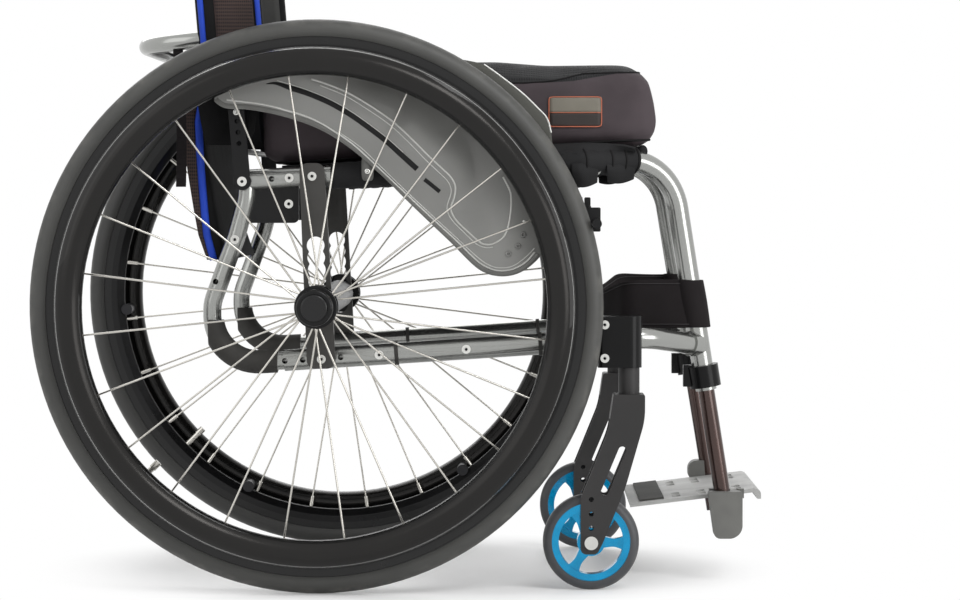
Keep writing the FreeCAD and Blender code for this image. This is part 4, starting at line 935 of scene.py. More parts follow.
    @staticmethod
    def smooth(line: Sequence[Tuple[float, float]], steps: int) -> List[Tuple[float, float]]:
        """Run a smooth curve through points.

        Args:
            line: The points.
            steps: How many pieces each run is cut into.

        Returns:
            The curve's points.
        """
        ends = [line[0]] + list(line) + [line[-1]]
        curve = []
        for i in range(1, len(ends) - 2):
            a, b, c, d = (Vector(point) for point in ends[i - 1:i + 3])
            for k in range(steps):
                t = k / steps
                square, cube = a * 2 - b * 5 + c * 4 - d, b * 3 - a - c * 3 + d
                place = (b * 2 + (c - a) * t + square * t ** 2 + cube * t ** 3) / 2
                curve.append((place.x, place.y))
        return curve + [tuple(line[-1])]

    @classmethod
    def turned(cls, name: str, centre: Vector, side: Side, profile: Sequence[Tuple[float, float]],
               finish: Finish, hexagon: int = 99) -> bpy.types.Object:
        """Turn a profile about a line across the chair.

        Args:
            name: The piece's name.
            centre: Where the line starts.
            side: The side that the piece points to.
            profile: Radii with how far out each lies.
            finish: The finish.
            hexagon: The first point of the profile that is six-sided.

        Returns:
            The object.
        """
        rings = []
        for i, (radius, out) in enumerate(profile):
            ring = []
            for k in range(36):
                turn = math.pi * k / 18
                reach = radius
                if i >= hexagon:
                    reach *= math.cos(math.pi / 6) / math.cos(turn % (math.pi / 3) - math.pi / 6)
                ring.append(centre + Vector((reach * math.cos(turn), side.value * out, reach * math.sin(turn))))
            rings.append(ring)
        return cls.loft(name, rings, finish)

    @classmethod
    def screw(cls, name: str, centre: Vector, side: Side, radius: float, finish: Finish) -> bpy.types.Object:
        """A domed screw head with a hexagon socket.

        Args:
            name: The piece's name.
            centre: Where the head sits.
            side: The side that it points to.
            radius: Its radius.
            finish: The finish.

        Returns:
            The object.
        """
        dome = ((1.0, -0.1), (1.0, 0.18), (0.88, 0.42), (0.68, 0.55), (0.52, 0.58))
        socket = ((0.47, 0.52), (0.47, 0.10))
        profile = [(radius * r, radius * out) for r, out in dome + socket]
        return cls.turned(name, centre, side, profile, finish, len(dome))

    @classmethod
    def apply(cls, made: bpy.types.Object) -> None:
        """Apply all modifiers of a piece.

        Args:
            made: The piece.
        """
        graph = bpy.context.evaluated_depsgraph_get()
        mesh = bpy.data.meshes.new_from_object(made.evaluated_get(graph))
        made.modifiers.clear()
        made.data = mesh
        cls.soften(mesh)

    @classmethod
    def thicken(cls, made: bpy.types.Object, thickness: float, bevel: float = 0.0) -> None:
        """Give a skin its thickness on both sides.

        Args:
            made: The piece.
            thickness: The cloth's thickness.
            bevel: The rounding of its edges.
        """
        solid = made.modifiers.new("thickness", "SOLIDIFY")
        solid.thickness = thickness
        solid.offset = 0.0
        if bevel:
            rounded = made.modifiers.new("edges", "BEVEL")
            rounded.width = bevel
            rounded.segments = 2
            rounded.limit_method = "ANGLE"
        cls.apply(made)


@dataclass
class Rails:
    """Lines of the frame that the soft goods follow, in metres."""

    shift: float = -0.086
    rear_x: float = -0.076
    rear_z: float = 0.4252
    slope: float = 0.0533
    half: float = 0.203
    taper_x: float = 0.270
    corner_x: float = 0.3675
    corner_half: float = 0.155
    foot_x: float = 0.4026
    foot_half: float = 0.145
    foot_z: float = 0.2298
    tube: float = 0.0112

    def height(self, place: float) -> float:
        """Height of the rail's centre line.

        Args:
            place: The place along the chair.

        Returns:
            The height.
        """
        return self.rear_z + (place - self.shift - self.rear_x) * self.slope

    def width(self, place: float) -> float:
        """Distance of the rail's centre line from the chair's middle.

        Args:
            place: The place along the chair.

        Returns:
            The distance.
        """
        share = (place - self.shift - self.taper_x) / (self.corner_x - self.taper_x)
        blend = max(0.0, share + 0.12)
        bend = min(1.0, blend / 0.24)
        return self.half - (self.half - self.corner_half) * max(0.0, share) * bend

    def leg(self, height: float, side: Side) -> Vector:
        """Place on a front tube's centre line.

        Args:
            height: The height.
            side: Which tube.

        Returns:
            The place.
        """
        corner_z = self.height(self.corner_x + self.shift)
        share = (corner_z - height) / (corner_z - self.foot_z)
        x = self.corner_x + (self.foot_x - self.corner_x) * share + self.shift
        y = self.corner_half + (self.foot_half - self.corner_half) * share
        return Vector((x, side.value * y, height))


@dataclass
class SeatCushion:
    """Foam cushion in a cover with a mesh top, swollen by its filling."""

    rails: Rails
    voxel: float = 0.006
    inset: float = 0.0055
    swell: float = 0.0075
    pressure: float = 4.0
    frames: int = 20
    sling_top: float = 0.0146
    stations: Tuple[Tuple[float, float, float, float], ...] = (
        (0.0, 0.50, 0.20, 1.10), (0.02, 0.30, 0.08, 0.60), (0.045, 0.22, 0.04, 0.34),
        (0.085, 0.06, 0.05, 0.28), (0.20, 0.06, 0.02, 0.15), (0.35, 0.14, 0.01, 0.06),
        (0.48, 0.18, 0.01, 0.02), (0.59, 0.16, 0.01, 0.00), (0.72, 0.10, 0.01, 0.16),
        (0.82, 0.05, 0.01, 0.14), (0.90, 0.02, 0.01, 0.12), (0.945, 0.05, 0.02, 0.14),
        (0.96, 0.08, 0.03, 0.22), (0.972, 0.12, 0.04, 0.36), (0.98, 0.16, 0.07, 0.50),
        (0.986, 0.20, 0.14, 0.80), (0.992, 0.27, 0.30, 1.35), (1.0, 0.38, 0.80, 2.20),
    )
    crown: float = 0.0015
    nose: float = 0.026
    squareness: float = 9.0
    welt_rise: float = 0.0048
    patch_from: Tuple[float, float] = (0.1535, 0.4815)
    patch_to: Tuple[float, float] = (0.2085, 0.5125)

    def floor(self, place: float) -> float:
        """Height of the sling's top at a place along the chair."""
        return self.rails.height(place) + self.sling_top

    def build(self) -> None:
        """Build the cushion with its seams and patch, and hang it on the frame."""
        body = self._shell()
        self._fill(body)
        Shape.soften(body.data)
        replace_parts(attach(body, "root"), "seat_cushion")
        surface = BVHTree.FromObject(body, bpy.context.evaluated_depsgraph_get())
        trims = [self._seam(surface), self._welt(surface)] + self._patch(surface)
        for trim in trims:
            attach(trim, "root")
        for made in [body] + trims:
            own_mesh(made)
        log.info("seat cushion: %d points", len(body.data.vertices))

    def _shell(self) -> bpy.types.Object:
        """Loft the cushion's starting form, a little smaller than the real one.

        Returns:
            The closed mesh.
        """
        low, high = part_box("seat_cushion")
        inset = self.inset
        length = high.x - low.x - 2 * inset
        rings = []
        for share, waist, lift, drop in self.stations:
            x = low.x + inset + length * share
            bottom = self.floor(x) + 0.0006 + self.nose * lift
            top = high.z - inset - self.nose * drop
            half = high.y - inset - self.nose * waist
            middle = (bottom + top) / 2
            ring = []
            for y, z in Shape.rounded(half, (top - bottom) / 2, self.squareness, 72):
                if z > 0:
                    z -= self.crown * (y / half) ** 2
                ring.append(Vector((x, y, middle + z)))
            rings.append(ring)
        return Shape.loft("cushion_body", rings, Finishes.cover)

    def _fill(self, body: bpy.types.Object) -> None:
        """Swell the shell by pressure, and hold it in its space.

        Args:
            body: The shell.
        """
        remesh = body.modifiers.new("even", "REMESH")
        remesh.mode = "VOXEL"
        remesh.voxel_size = self.voxel
        Shape.apply(body)
        start = [v.co.copy() for v in body.data.vertices]
        cloth = body.modifiers.new("cloth", "CLOTH")
        cloth.settings.use_pressure = True
        cloth.settings.uniform_pressure_force = self.pressure
        cloth.settings.effector_weights.gravity = 0.0
        cloth.settings.quality = 4
        cloth.point_cache.frame_start = 1
        cloth.point_cache.frame_end = self.frames
        scene = bpy.context.scene
        for step in range(1, self.frames + 1):
            scene.frame_set(step)
        Shape.apply(body)
        scene.frame_set(1)
        low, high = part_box("seat_cushion")
        for vertex, before in zip(body.data.vertices, start):
            move = vertex.co - before
            if move.length > self.swell:
                move = move * (self.swell / move.length)
            place = before + move
            place.z = max(place.z, self.floor(place.x) + 0.0004)
            vertex.co = place
        smooth = body.modifiers.new("finer", "SUBSURF")
        smooth.levels = 1
        smooth.render_levels = 1
        Shape.apply(body)
        rear = min(vertex.co.x for vertex in body.data.vertices)
        longer = (high.x - rear) / (max(vertex.co.x for vertex in body.data.vertices) - rear)
        for vertex in body.data.vertices:
            vertex.co.x = rear + (vertex.co.x - rear) * longer

    def _ring(self, surface: BVHTree, height: Callable[[float], float], stand: float) -> List[Vector]:
        """Follow the cushion's outside at a height.

        Args:
            surface: The cushion's surface.
            height: The height for each place along the chair.
            stand: How far the line stands off.

        Returns:
            The points round the cushion.
        """
        low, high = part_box("seat_cushion")
        middle_x = (low.x + high.x) / 2
        points = []
        around = Shape.rounded((high.x - low.x) / 2 + 0.05, high.y + 0.05, self.squareness, 220)
        for x, y in around:
            start = Vector((middle_x + x, y, height(middle_x + x * 0.88)))
            aim = Vector((middle_x + x * 0.6, y * 0.6, start.z))
            hit, normal, _, _ = surface.ray_cast(start, (aim - start).normalized())
            if hit is not None:
                points.append(hit + normal * stand)
        return points

    def _seam(self, surface: BVHTree) -> bpy.types.Object:
        """The sewn edge between mesh top and side cloth."""
        line = self._ring(surface, Finishes.cover.seam, 0.0002)
        return Shape.rope("cushion_top_seam", line, 0.0013, Finishes.seam, closed=True, flat=0.8)

    def _welt(self, surface: BVHTree) -> bpy.types.Object:
        """The welt along the bottom edge."""
        line = self._ring(surface, lambda x: self.floor(x) + self.welt_rise, 0.0002)
        return Shape.rope("cushion_bottom_welt", line, 0.0014, Finishes.seam, closed=True)

    def _patch(self, surface: BVHTree) -> List[bpy.types.Object]:
        """A plain sewn patch on the right side, with a border.

        Args:
            surface: The cushion's surface.

        Returns:
            The patch's two fields and its border.
        """
        (x0, z0), (x1, z1) = self.patch_from, self.patch_to
        split = z0 + (z1 - z0) * 0.47
        made = []
        for name, low, high, finish in (("patch_upper", split, z1, Finishes.patch),
                                        ("patch_lower", z0, split, Finishes.patch_dark)):
            made.append(Shape.cloth(
                name, (6, 12), lambda up, along, low=low, high=high: self._on_side(
                    surface, x0 + (x1 - x0) * along, low + (high - low) * up, 0.0006), finish, 0.0008))
        middle = Vector(((x0 + x1) / 2, 0, (z0 + z1) / 2))
        edge = [self._on_side(surface, middle.x + x, middle.z + z, 0.0008)
                for x, z in Shape.rounded((x1 - x0) / 2, (z1 - z0) / 2, 14.0, 96)]
        made.append(Shape.rope("patch_edge", edge, 0.0009, Finishes.patch_edge, closed=True, flat=0.7))
        across = [self._on_side(surface, x0 + (x1 - x0) * (0.02 + 0.06 * j), split, 0.0009) for j in range(17)]
        made.append(Shape.rope("patch_divider", across, 0.0007, Finishes.patch_edge, flat=0.7))
        return made

    @staticmethod
    def _on_side(surface: BVHTree, x: float, z: float, stand: float) -> Vector:
        """Place on the cushion's right side.

        Args:
            surface: The cushion's surface.
            x: The place along the chair.
            z: The height.
            stand: How far it stands off.

        Returns:
            The place.
        """
        hit, normal, _, _ = surface.ray_cast(Vector((x, -0.4, z)), Vector((0, 1, 0)))
        return hit + normal * stand


@dataclass
class SeatSling:
    """Fabric seat stretched between the rails, with a sleeve round each and flaps at the front."""

    rails: Rails
    thickness: float = 0.0022
    wrap_radius: float = 0.0128
    rear: float = -0.126
    wrap_from: float = -0.074
    wrap_to: float = 0.2435
    gaps: Tuple[Tuple[float, float], ...] = ((0.0008, 0.0172), (0.0708, 0.0872), (0.1408, 0.1634))
    seams: Tuple[float, ...] = (0.1877, 0.2137, 0.2282)
    flaps: Tuple[Tuple[float, float, float], ...] = ((0.1765, 0.0285, 0.0245), (0.2130, 0.0310, 0.0225))
    apron_from: float = 0.120
    apron_to: float = 0.2440
    apron_rise: float = 0.0200
    apron_out: float = 0.1965

    def build(self) -> None:
        """Build the sheet, the sleeves, their seams and the flaps."""
        sheet = self._sheet()
        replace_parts(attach(sheet, "root"), "seat_sling")
        for side in Side:
            flaps = [self._flap(side, i) for i in range(len(self.flaps))]
            for trim in self._sleeves(side) + self._seams(side) + flaps + [self._apron(side)]:
                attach(trim, "root")
        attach(self._hem(), "root")
        log.info("seat sling built")

    def _sheet(self) -> bpy.types.Object:
        """The sheet between the rails, drawn flat by their pull.

        Returns:
            The thick sheet.
        """
        def point(along: float, across: float) -> Vector:
            """A point of the sheet.

            Args:
                along: The share of the way forward.
                across: The share of the way across.

            Returns:
                The point.
            """
            x = self.rear + (self.wrap_to - self.rear) * along
            half = self.rails.width(x) - (self.rails.tube if x < self.wrap_from else 0.0)
            share = 2.0 * across - 1.0
            pull = 0.0005 * math.sin(across * 84.0 + along * 10.8) * (1.0 - share * share)
            return Vector((x, share * half, self.rails.height(x) + self.wrap_radius - 0.0004 + pull))

        return Shape.cloth("sling_sheet", (36, 40), point, Finishes.sling, self.thickness)

    def _hem(self) -> bpy.types.Object:
        """The rolled front hem across the chair.

        Returns:
            The hem.
        """
        x = self.wrap_to + 0.0085
        half = self.rails.width(x) + 0.004
        line = [Vector((x + 0.0006 * math.sin(k * 0.9), half * (k / 24 - 1), self.rails.height(x) + 0.0085))
                for k in range(49)]
        return Shape.rope("sling_front_hem", line, 0.0052, Finishes.sling, sides=14, flat=1.3)

    def _wrap(self, side: Side, x: float, lift: float) -> List[Vector]:
        """Section of a sleeve round the rail.

        Args:
            side: Which rail.
            x: The place along the chair.
            lift: How far the section stands off the sleeve's middle.

        Returns:
            The section's points.
        """
        points = []
        half = self.rails.width(x)
        lean = (self.rails.width(x + 0.002) - self.rails.width(x - 0.002)) / 0.004
        for k in range(25):
            turn = math.pi * k / 12
            radius = self.wrap_radius + lift
            across = math.sin(turn) * radius
            points.append(Vector((x - lean * across, side.value * (half + across),
                                  self.rails.height(x) + math.cos(turn) * radius)))
        return points

    def _sleeves(self, side: Side) -> List[bpy.types.Object]:
        """The strips that wrap the rail, open where the guard and the brake are fixed.

        Args:
            side: Which rail.

        Returns:
            The strips.
        """
        starts = [self.wrap_from] + [gap[1] for gap in self.gaps]
        ends = [gap[0] for gap in self.gaps] + [self.wrap_to]
        made = []
        for i, (start, end) in enumerate(zip(starts, ends)):
            steps = max(6, int((end - start) / 0.004))
            rings = []
            for row in range(steps + 1):
                x = start + (end - start) * row / steps
                crease = 0.0004 * math.sin(row * 1.9 + i)
                rings.append(self._wrap(side, x, crease))
            name = f"sling_sleeve_{side.word}_{i}"
            made.append(Shape.skin(name, rings, Finishes.sling, self.thickness * 0.9))
        return made

    def _seams(self, side: Side) -> List[bpy.types.Object]:
        """Bound edges and cross seams of the front sleeve.

        Args:
            side: Which rail.

        Returns:
            The raised bands.
        """
        made = []
        for i, x in enumerate(self.seams + (self.wrap_to - 0.002,)):
            line = self._wrap(side, x, 0.0012)
            name = f"sling_seam_{side.word}_{i}"
            made.append(Shape.rope(name, line[:-1], 0.0013, Finishes.seam, closed=True))
        return made

    def _flap(self, side: Side, index: int) -> bpy.types.Object:
        """A folded strap end that hangs under the rail's front.

        Args:
            side: Which rail.
            index: Which of the flaps, from the rear.

        Returns:
            The flap.
        """
        start, length, drop = self.flaps[index]

        def point(share: float, down: float) -> Vector:
            """A point of the flap.

            Args:
                share: The share of the way forward.
                down: The share of the way down.

            Returns:
                The point.
            """
            x = start + length * share
            half = self.rails.width(x) + 0.0136
            reach = drop * (0.80 + 0.20 * math.sin(math.pi * (0.15 + 0.8 * share)))
            fold = 0.0040 * math.sin(math.pi * down) * (0.6 + 0.4 * math.sin(4.0 * share + index))
            return Vector((x + 0.003 * down * (0.5 - share), side.value * (half - 0.012 * down ** 2 + fold),
                           self.rails.height(x) - 0.001 - reach * down))

        name = f"sling_flap_{side.word}_{index}"
        return Shape.cloth(name, (10, 9), point, Finishes.sling, self.thickness, 0.0004)

    def _apron(self, side: Side) -> bpy.types.Object:
        """The cloth edge that stands from the sleeve to the cushion's side.

        Args:
            side: Which rail.

        Returns:
            The edge.
        """
        foot = 0.0085

        def point(share: float, up: float) -> Vector:
            """A point of the edge.

            Args:
                share: The share of the way forward.
                up: The share of the way up.

            Returns:
                The point.
            """
            x = self.apron_from + (self.apron_to - self.apron_from) * share
            inner = self.rails.width(x) + 0.0095
            top = self.apron_rise - 0.008 * share ** 6
            out = inner + (self.apron_out - inner) * up
            ripple = 0.0007 * math.sin(share * 27.0) * math.sin(math.pi * up)
            return Vector((x, side.value * (out + ripple), self.rails.height(x) + foot + (top - foot) * up))

        return Shape.cloth(f"sling_apron_{side.word}", (30, 8), point, Finishes.sling, self.thickness)


@dataclass
class CalfStrap:
    """Padded band behind the legs, looped round both front tubes."""

    rails: Rails
    top: float = 0.320
    bottom: float = 0.270
    side_half: float = 0.157
    front: float = 0.306
    turn: float = 0.236
    back: float = 0.212
    back_half: float = 0.096
    back_drop: float = 0.014
    thickness: float = 0.0046
    loop_radius: float = 0.0136
    corner_reach: float = 0.014
    stitch_rise: float = 0.0215
    stitch_off: float = 0.0027

    def path(self) -> List[Vector]:
        """The band's middle line from the left tube round to the right.

        Returns:
            The points.
        """
        middle = (self.top + self.bottom) / 2
        corners = [Vector((self.front, self.side_half, middle)), Vector((self.turn, self.side_half, middle)),
                   Vector((self.back, self.back_half, middle - self.back_drop))]
        corners += [Vector((p.x, -p.y, p.z)) for p in reversed(corners)]
        points = [corners[0]]
        for i in range(1, len(corners) - 1):
            before, here, after = corners[i - 1], corners[i], corners[i + 1]
            start = here + (before - here).normalized() * self.corner_reach
            end = here + (after - here).normalized() * self.corner_reach
            for k in range(9):
                t = k / 8
                points.append(start * (1 - t) ** 2 + here * (2 * t * (1 - t)) + end * t ** 2)
        points.append(corners[-1])
        fine = []
        for first, second in zip(points, points[1:]):
            steps = max(1, int((second - first).length / 0.006))
            fine += [first.lerp(second, k / steps) for k in range(steps)]
        return fine + [points[-1]]

    def build(self) -> None:
        """Build the band, its bound edges and the two loops."""
        line = self.path()
        rings = []
        for i, (point, side) in enumerate(zip(line, self._across(line))):
            tall = (self.top - self.bottom) / 2 * (1.0 - 0.03 * math.sin(i * 0.35))
            rings.append([point + side * s + Vector((0, 0, z))
                          for s, z in Shape.rounded(self.thickness / 2, tall, 5.0, 28)])
        band = Shape.loft("calf_band", rings, Finishes.strap)
        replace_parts(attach(band, "root"), "calf_strap")
        trims = []
        for name, z in (("upper", self.stitch_rise), ("lower", -self.stitch_rise)):
            for word, off in (("out", self.stitch_off), ("in", -self.stitch_off)):
                seam = [point + side * off + Vector((0, 0, z)) for point, side in zip(line, self._across(line))]
                trims.append(Shape.rope(f"calf_stitch_{name}_{word}", seam, 0.0005, Finishes.thread, sides=6))
        trims += [self._loop(side) for side in Side]
        for trim in trims:
            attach(trim, "root")
        log.info("calf strap built")

    @staticmethod
    def _across(line: Sequence[Vector]) -> List[Vector]:
        """The level direction to the left of a line at each of its points.

        Args:
            line: The line.

        Returns:
            The directions.
        """
        ahead = list(line[1:]) + [line[-1]]
        behind = [line[0]] + list(line[:-1])
        runs = [(after - before).normalized() for before, after in zip(behind, ahead)]
        return [Vector((-run.y, run.x, 0)) for run in runs]

    def _loop(self, side: Side) -> bpy.types.Object:
        """The loop round one front tube.

        Args:
            side: Which tube.

        Returns:
            The loop.
        """
        rings = []
        rows = 14
        for i in range(rows + 1):
            share = i / rows
            centre = self.rails.leg(self.bottom + (self.top - self.bottom) * share, side)
            radius = self.loop_radius + 0.0006 * math.sin(math.pi * share)
            turns = [2.0 * math.pi * k / 40 for k in range(40)]
            rings.append([centre + Vector((math.cos(turn), math.sin(turn), 0)) * radius for turn in turns])
        made = Shape.loft(f"calf_loop_{side.word}", rings, Finishes.strap, capped=False)
        Shape.thicken(made, 0.0030, 0.0008)
        return made


@dataclass
class SideGuard:
    """Moulded guard between cushion and wheel, with raised lines in painted highlight colour, a black strip
    painted as the slot's shade, painted highlight lines along the slot and the fender's edge, screws and
    fixings.
    """

    rails: Rails
    face: float = 0.2335
    thickness: float = 0.003
    dish: float = 0.009
    dish_reach: float = 0.085
    dish_end: float = 0.285
    dish_fade: float = 0.023
    dish_start: Tuple[Tuple[float, float], ...] = ((-0.130, 0.560),)
    dish_stop: Tuple[Tuple[float, float], ...] = ((0.1100, 0.4500), (0.1120, 0.5700))
    border_width: float = 0.0052
    sections: Tuple[Tuple[Tuple[float, float], Tuple[float, float]], ...] = (
        ((-0.1933, 0.5067), (-0.1928, 0.5293)), ((-0.1821, 0.4998), (-0.1744, 0.5379)),
        ((-0.1563, 0.4981), (-0.1397, 0.5479)), ((-0.1221, 0.4912), (-0.0996, 0.5536)),
        ((-0.0835, 0.4775), (-0.0541, 0.5546)), ((-0.0501, 0.4562), (-0.0144, 0.5533)),
        ((-0.0185, 0.4286), (0.0230, 0.5518)), ((0.0031, 0.4070), (0.0531, 0.5512)),
        ((0.0318, 0.3793), (0.0858, 0.5450)), ((0.0508, 0.3613), (0.0989, 0.5359)),
        ((0.0748, 0.3373), (0.1243, 0.5164)), ((0.0877, 0.3290), (0.1410, 0.5004)),
        ((0.0988, 0.3260), (0.1511, 0.4891)), ((0.1098, 0.3258), (0.1554, 0.4743)),
        ((0.1210, 0.3285), (0.1573, 0.4461)), ((0.1311, 0.3341), (0.1558, 0.4130)),
        ((0.1403, 0.3420), (0.1511, 0.3758)), ((0.1444, 0.3468), (0.1475, 0.3582)),
    )
    border: Tuple[Tuple[float, float], ...] = (
        (-0.1805, 0.5084), (-0.1709, 0.5072), (-0.1521, 0.5050), (-0.1349, 0.5020), (-0.1178, 0.4972),
        (-0.1007, 0.4921), (-0.0878, 0.4866), (-0.0734, 0.4784), (-0.0496, 0.4622), (-0.0217, 0.4367),
        (0.0021, 0.4140), (0.0328, 0.3852), (0.0576, 0.3623), (0.0773, 0.3431), (0.0877, 0.3359),
        (0.0988, 0.3318), (0.1098, 0.3318), (0.1191, 0.3345), (0.1293, 0.3406), (0.1385, 0.3508),
    )
    border_fine: Tuple[Tuple[float, float], ...] = (
        (-0.0630, 0.4741), (-0.0423, 0.4596), (-0.0217, 0.4401), (0.0021, 0.4169), (0.0328, 0.3882),
        (0.0576, 0.3654), (0.0693, 0.3544), (0.0813, 0.3438), (0.0896, 0.3382), (0.0988, 0.3348),
        (0.1098, 0.3348), (0.1180, 0.3375), (0.1246, 0.3420), (0.1330, 0.3493), (0.1381, 0.3549),
    )
    contour: Tuple[Tuple[float, float], ...] = (
        (-0.0929, 0.5298), (-0.0786, 0.5253), (-0.0565, 0.5164), (-0.0343, 0.5037), (-0.0090, 0.4863),
        (0.0100, 0.4689), (0.0290, 0.4498), (0.0449, 0.4352), (0.0518, 0.4280), (0.0557, 0.4208),
        (0.0562, 0.4141), (0.0545, 0.4057), (0.0517, 0.3980), (0.0526, 0.3913), (0.0581, 0.3826),
        (0.0693, 0.3719), (0.0813, 0.3613), (0.0877, 0.3588), (0.0951, 0.3594), (0.1025, 0.3632),
        (0.1071, 0.3678), (0.1101, 0.3748), (0.1123, 0.3841), (0.1137, 0.3944), (0.1141, 0.4048),
        (0.1132, 0.4130), (0.1097, 0.4208), (0.1056, 0.4286),
    )
    contour_fine: Tuple[Tuple[float, float], ...] = (
        (-0.0837, 0.5232), (-0.0596, 0.5135), (-0.0375, 0.5003), (-0.0121, 0.4828), (0.0069, 0.4654),
        (0.0258, 0.4459), (0.0417, 0.4310), (0.0483, 0.4241), (0.0516, 0.4169), (0.0514, 0.4104),
        (0.0483, 0.4011), (0.0479, 0.3936), (0.0533, 0.3832), (0.0694, 0.3671), (0.0784, 0.3589),
        (0.0873, 0.3555), (0.0951, 0.3559),
    )
    slot: Tuple[Tuple[float, float], ...] = (
        (-0.1396, 0.5248), (-0.1292, 0.5254), (-0.1135, 0.5204), (-0.0963, 0.5150), (-0.0734, 0.5052),
        (-0.0527, 0.4933), (-0.0343, 0.4803), (-0.0153, 0.4657), (0.0021, 0.4499), (0.0166, 0.4368),
    )
    # A thin pale rope along the slot's upper side: a painted highlight.
    slot_highlight: Tuple[Tuple[float, float], ...] = (
        (-0.1282, 0.5282), (-0.1135, 0.5240), (-0.0963, 0.5183), (-0.0734, 0.5087), (-0.0527, 0.4970),
        (-0.0343, 0.4842), (-0.0153, 0.4697), (0.0021, 0.4542),
    )
    slot_end: Tuple[Tuple[float, float], ...] = ((0.0243, 0.4261), (0.0321, 0.4199), (0.0401, 0.4134))
    screws: Tuple[Tuple[float, float, float], ...] = (
        (0.1272, 0.3826, 0.0016), (0.1265, 0.3688, 0.0034), (0.1210, 0.3572, 0.0034), (0.1113, 0.3489, 0.0034),
    )
    post_places: Tuple[float, float] = (0.009, 0.079)
    post_radius: float = 0.007
    post_from: float = 0.2140
    bracket: Tuple[float, float, float] = (-0.0349, 0.4245, 0.4520)
    bracket_half: float = 0.0062
    bracket_screw: float = 0.4345
    bracket_from: float = 0.2165

    def build(self) -> None:
        """Build both guards and fix them to the rails."""
        for side in Side:
            plate = self._plate(side)
            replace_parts(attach(plate, "root"), f"side_guard_{side.word}")
            for trim in self._lines(side) + [self._border(side)] + self._screws(side) + self._fixings(side):
                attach(trim, "root")
        log.info("side guards built")

    def _depth(self, x: float, z: float) -> float:
        """How far the dished face lies inside its plane.

        Args:
            x: The place along the chair.
            z: The height.

        Returns:
            The depth in metres.
        """
        line = self.dish_start + self.contour + self.dish_stop
        here = Vector((x, z))
        nearest, ahead = 1.0, False
        for (x0, z0), (x1, z1) in zip(line, line[1:]):
            run = Vector((x1 - x0, z1 - z0))
            off = here - Vector((x0, z0))
            gap = off - run * max(0.0, min(1.0, off.dot(run) / run.length_squared))
            if gap.length < nearest:
                nearest, ahead = gap.length, run.x * off.y > run.y * off.x
        radius = math.hypot(x - AXLE[0], z - AXLE[2])
        fade = max(0.0, min(1.0, (self.dish_end - radius) / self.dish_fade))
        return self.dish * math.sin(math.pi * min(1.0, nearest / self.dish_reach)) * fade if ahead else 0.0

    def _at(self, x: float, z: float, side: Side, stand: float) -> Vector:
        """Place on the guard's outer face.

        Args:
            x: The place along the chair.
            z: The height.
            side: Which guard.
            stand: How far it stands off the face.

        Returns:
            The place.
        """
        return Vector((x, side.value * (self.face - self._depth(x, z) + stand), z))

    def _plate(self, side: Side) -> bpy.types.Object:
        """The moulding, between its lower and its outer edge.

        Args:
            side: Which guard.

        Returns:
            The plate.
        """
        lower = Shape.smooth([section[0] for section in self.sections], 6)
        outer = Shape.smooth([section[1] for section in self.sections], 6)
        rows = []
        for (x0, z0), (x1, z1) in zip(lower, outer):
            rows.append([self._at(x0 + (x1 - x0) * j / 30, z0 + (z1 - z0) * j / 30, side, -self.thickness / 2)
                         for j in range(31)])
        return Shape.skin(f"guard_plate_{side.word}", rows, Finishes.guard, self.thickness, 0.0006)

    def _border(self, side: Side) -> bpy.types.Object:
        """The darker, rougher outer strip along the lower edge.

        Args:
            side: Which guard.

        Returns:
            The strip.
        """
        edge = Shape.smooth([section[0] for section in self.sections], 6)
        rows = []
        for i, (x, z) in enumerate(edge):
            before, after = edge[max(i - 1, 0)], edge[min(i + 1, len(edge) - 1)]
            along = Vector((after[0] - before[0], after[1] - before[1])).normalized()
            rows.append([self._at(x - along.y * reach, z + along.x * reach, side, 0.0001)
                         for reach in (0.0004, self.border_width / 2, self.border_width)])
        return Shape.skin(f"guard_border_{side.word}", rows, Finishes.guard_border, 0.0006)

    def _lines(self, side: Side) -> List[bpy.types.Object]:
        """The raised lines in painted highlight colour, the black strip painted as the slot's shade, and
        painted highlight lines along the slot's upper side and the fender's edge.

        Args:
            side: Which guard.

        Returns:
            The pieces.
        """
        rim = Shape.smooth([section[1] for section in self.sections[8:14]], 6)
        made = []
        for name, line, radius, flat, finish in (
            # Raised lines in painted highlight colour, the slot's shade as a black strip, and pale ropes that
            # are painted highlights only.
            ("border", self.border, 0.0009, 1.0, Finishes.guard_line),
            ("border_fine", self.border_fine, 0.0005, 1.0, Finishes.guard_line),
            ("contour", self.contour, 0.0009, 1.0, Finishes.guard_line),
            ("contour_fine", self.contour_fine, 0.0005, 1.0, Finishes.guard_line),
            ("slot", self.slot, 0.0005, 5.6, Finishes.guard_strip),
            ("slot_highlight", self.slot_highlight, 0.0004, 1.0, Finishes.guard_line),
            ("slot_end", self.slot_end, 0.0005, 4.2, Finishes.guard_strip),
            ("fender_edge_highlight", rim, 0.0008, 1.0, Finishes.guard_edge_highlight),
        ):
            path = [self._at(x, z, side, 0.0) for x, z in (line if line is rim else Shape.smooth(line, 4))]
            taper = 9 if line is self.slot else 1
            made.append(Shape.rope(f"guard_{name}_{side.word}", path, radius, finish, flat=flat, taper=taper))
        return made

    def _screws(self, side: Side) -> List[bpy.types.Object]:
        """The screw heads near the front edge.

        Args:
            side: Which guard.

        Returns:
            The heads.
        """
        return [Shape.screw(f"guard_screw_{side.word}_{i}", self._at(x, z, side, 0.0), side, radius,
                            Finishes.guard if i else Finishes.bolt)
                for i, (x, z, radius) in enumerate(self.screws)]

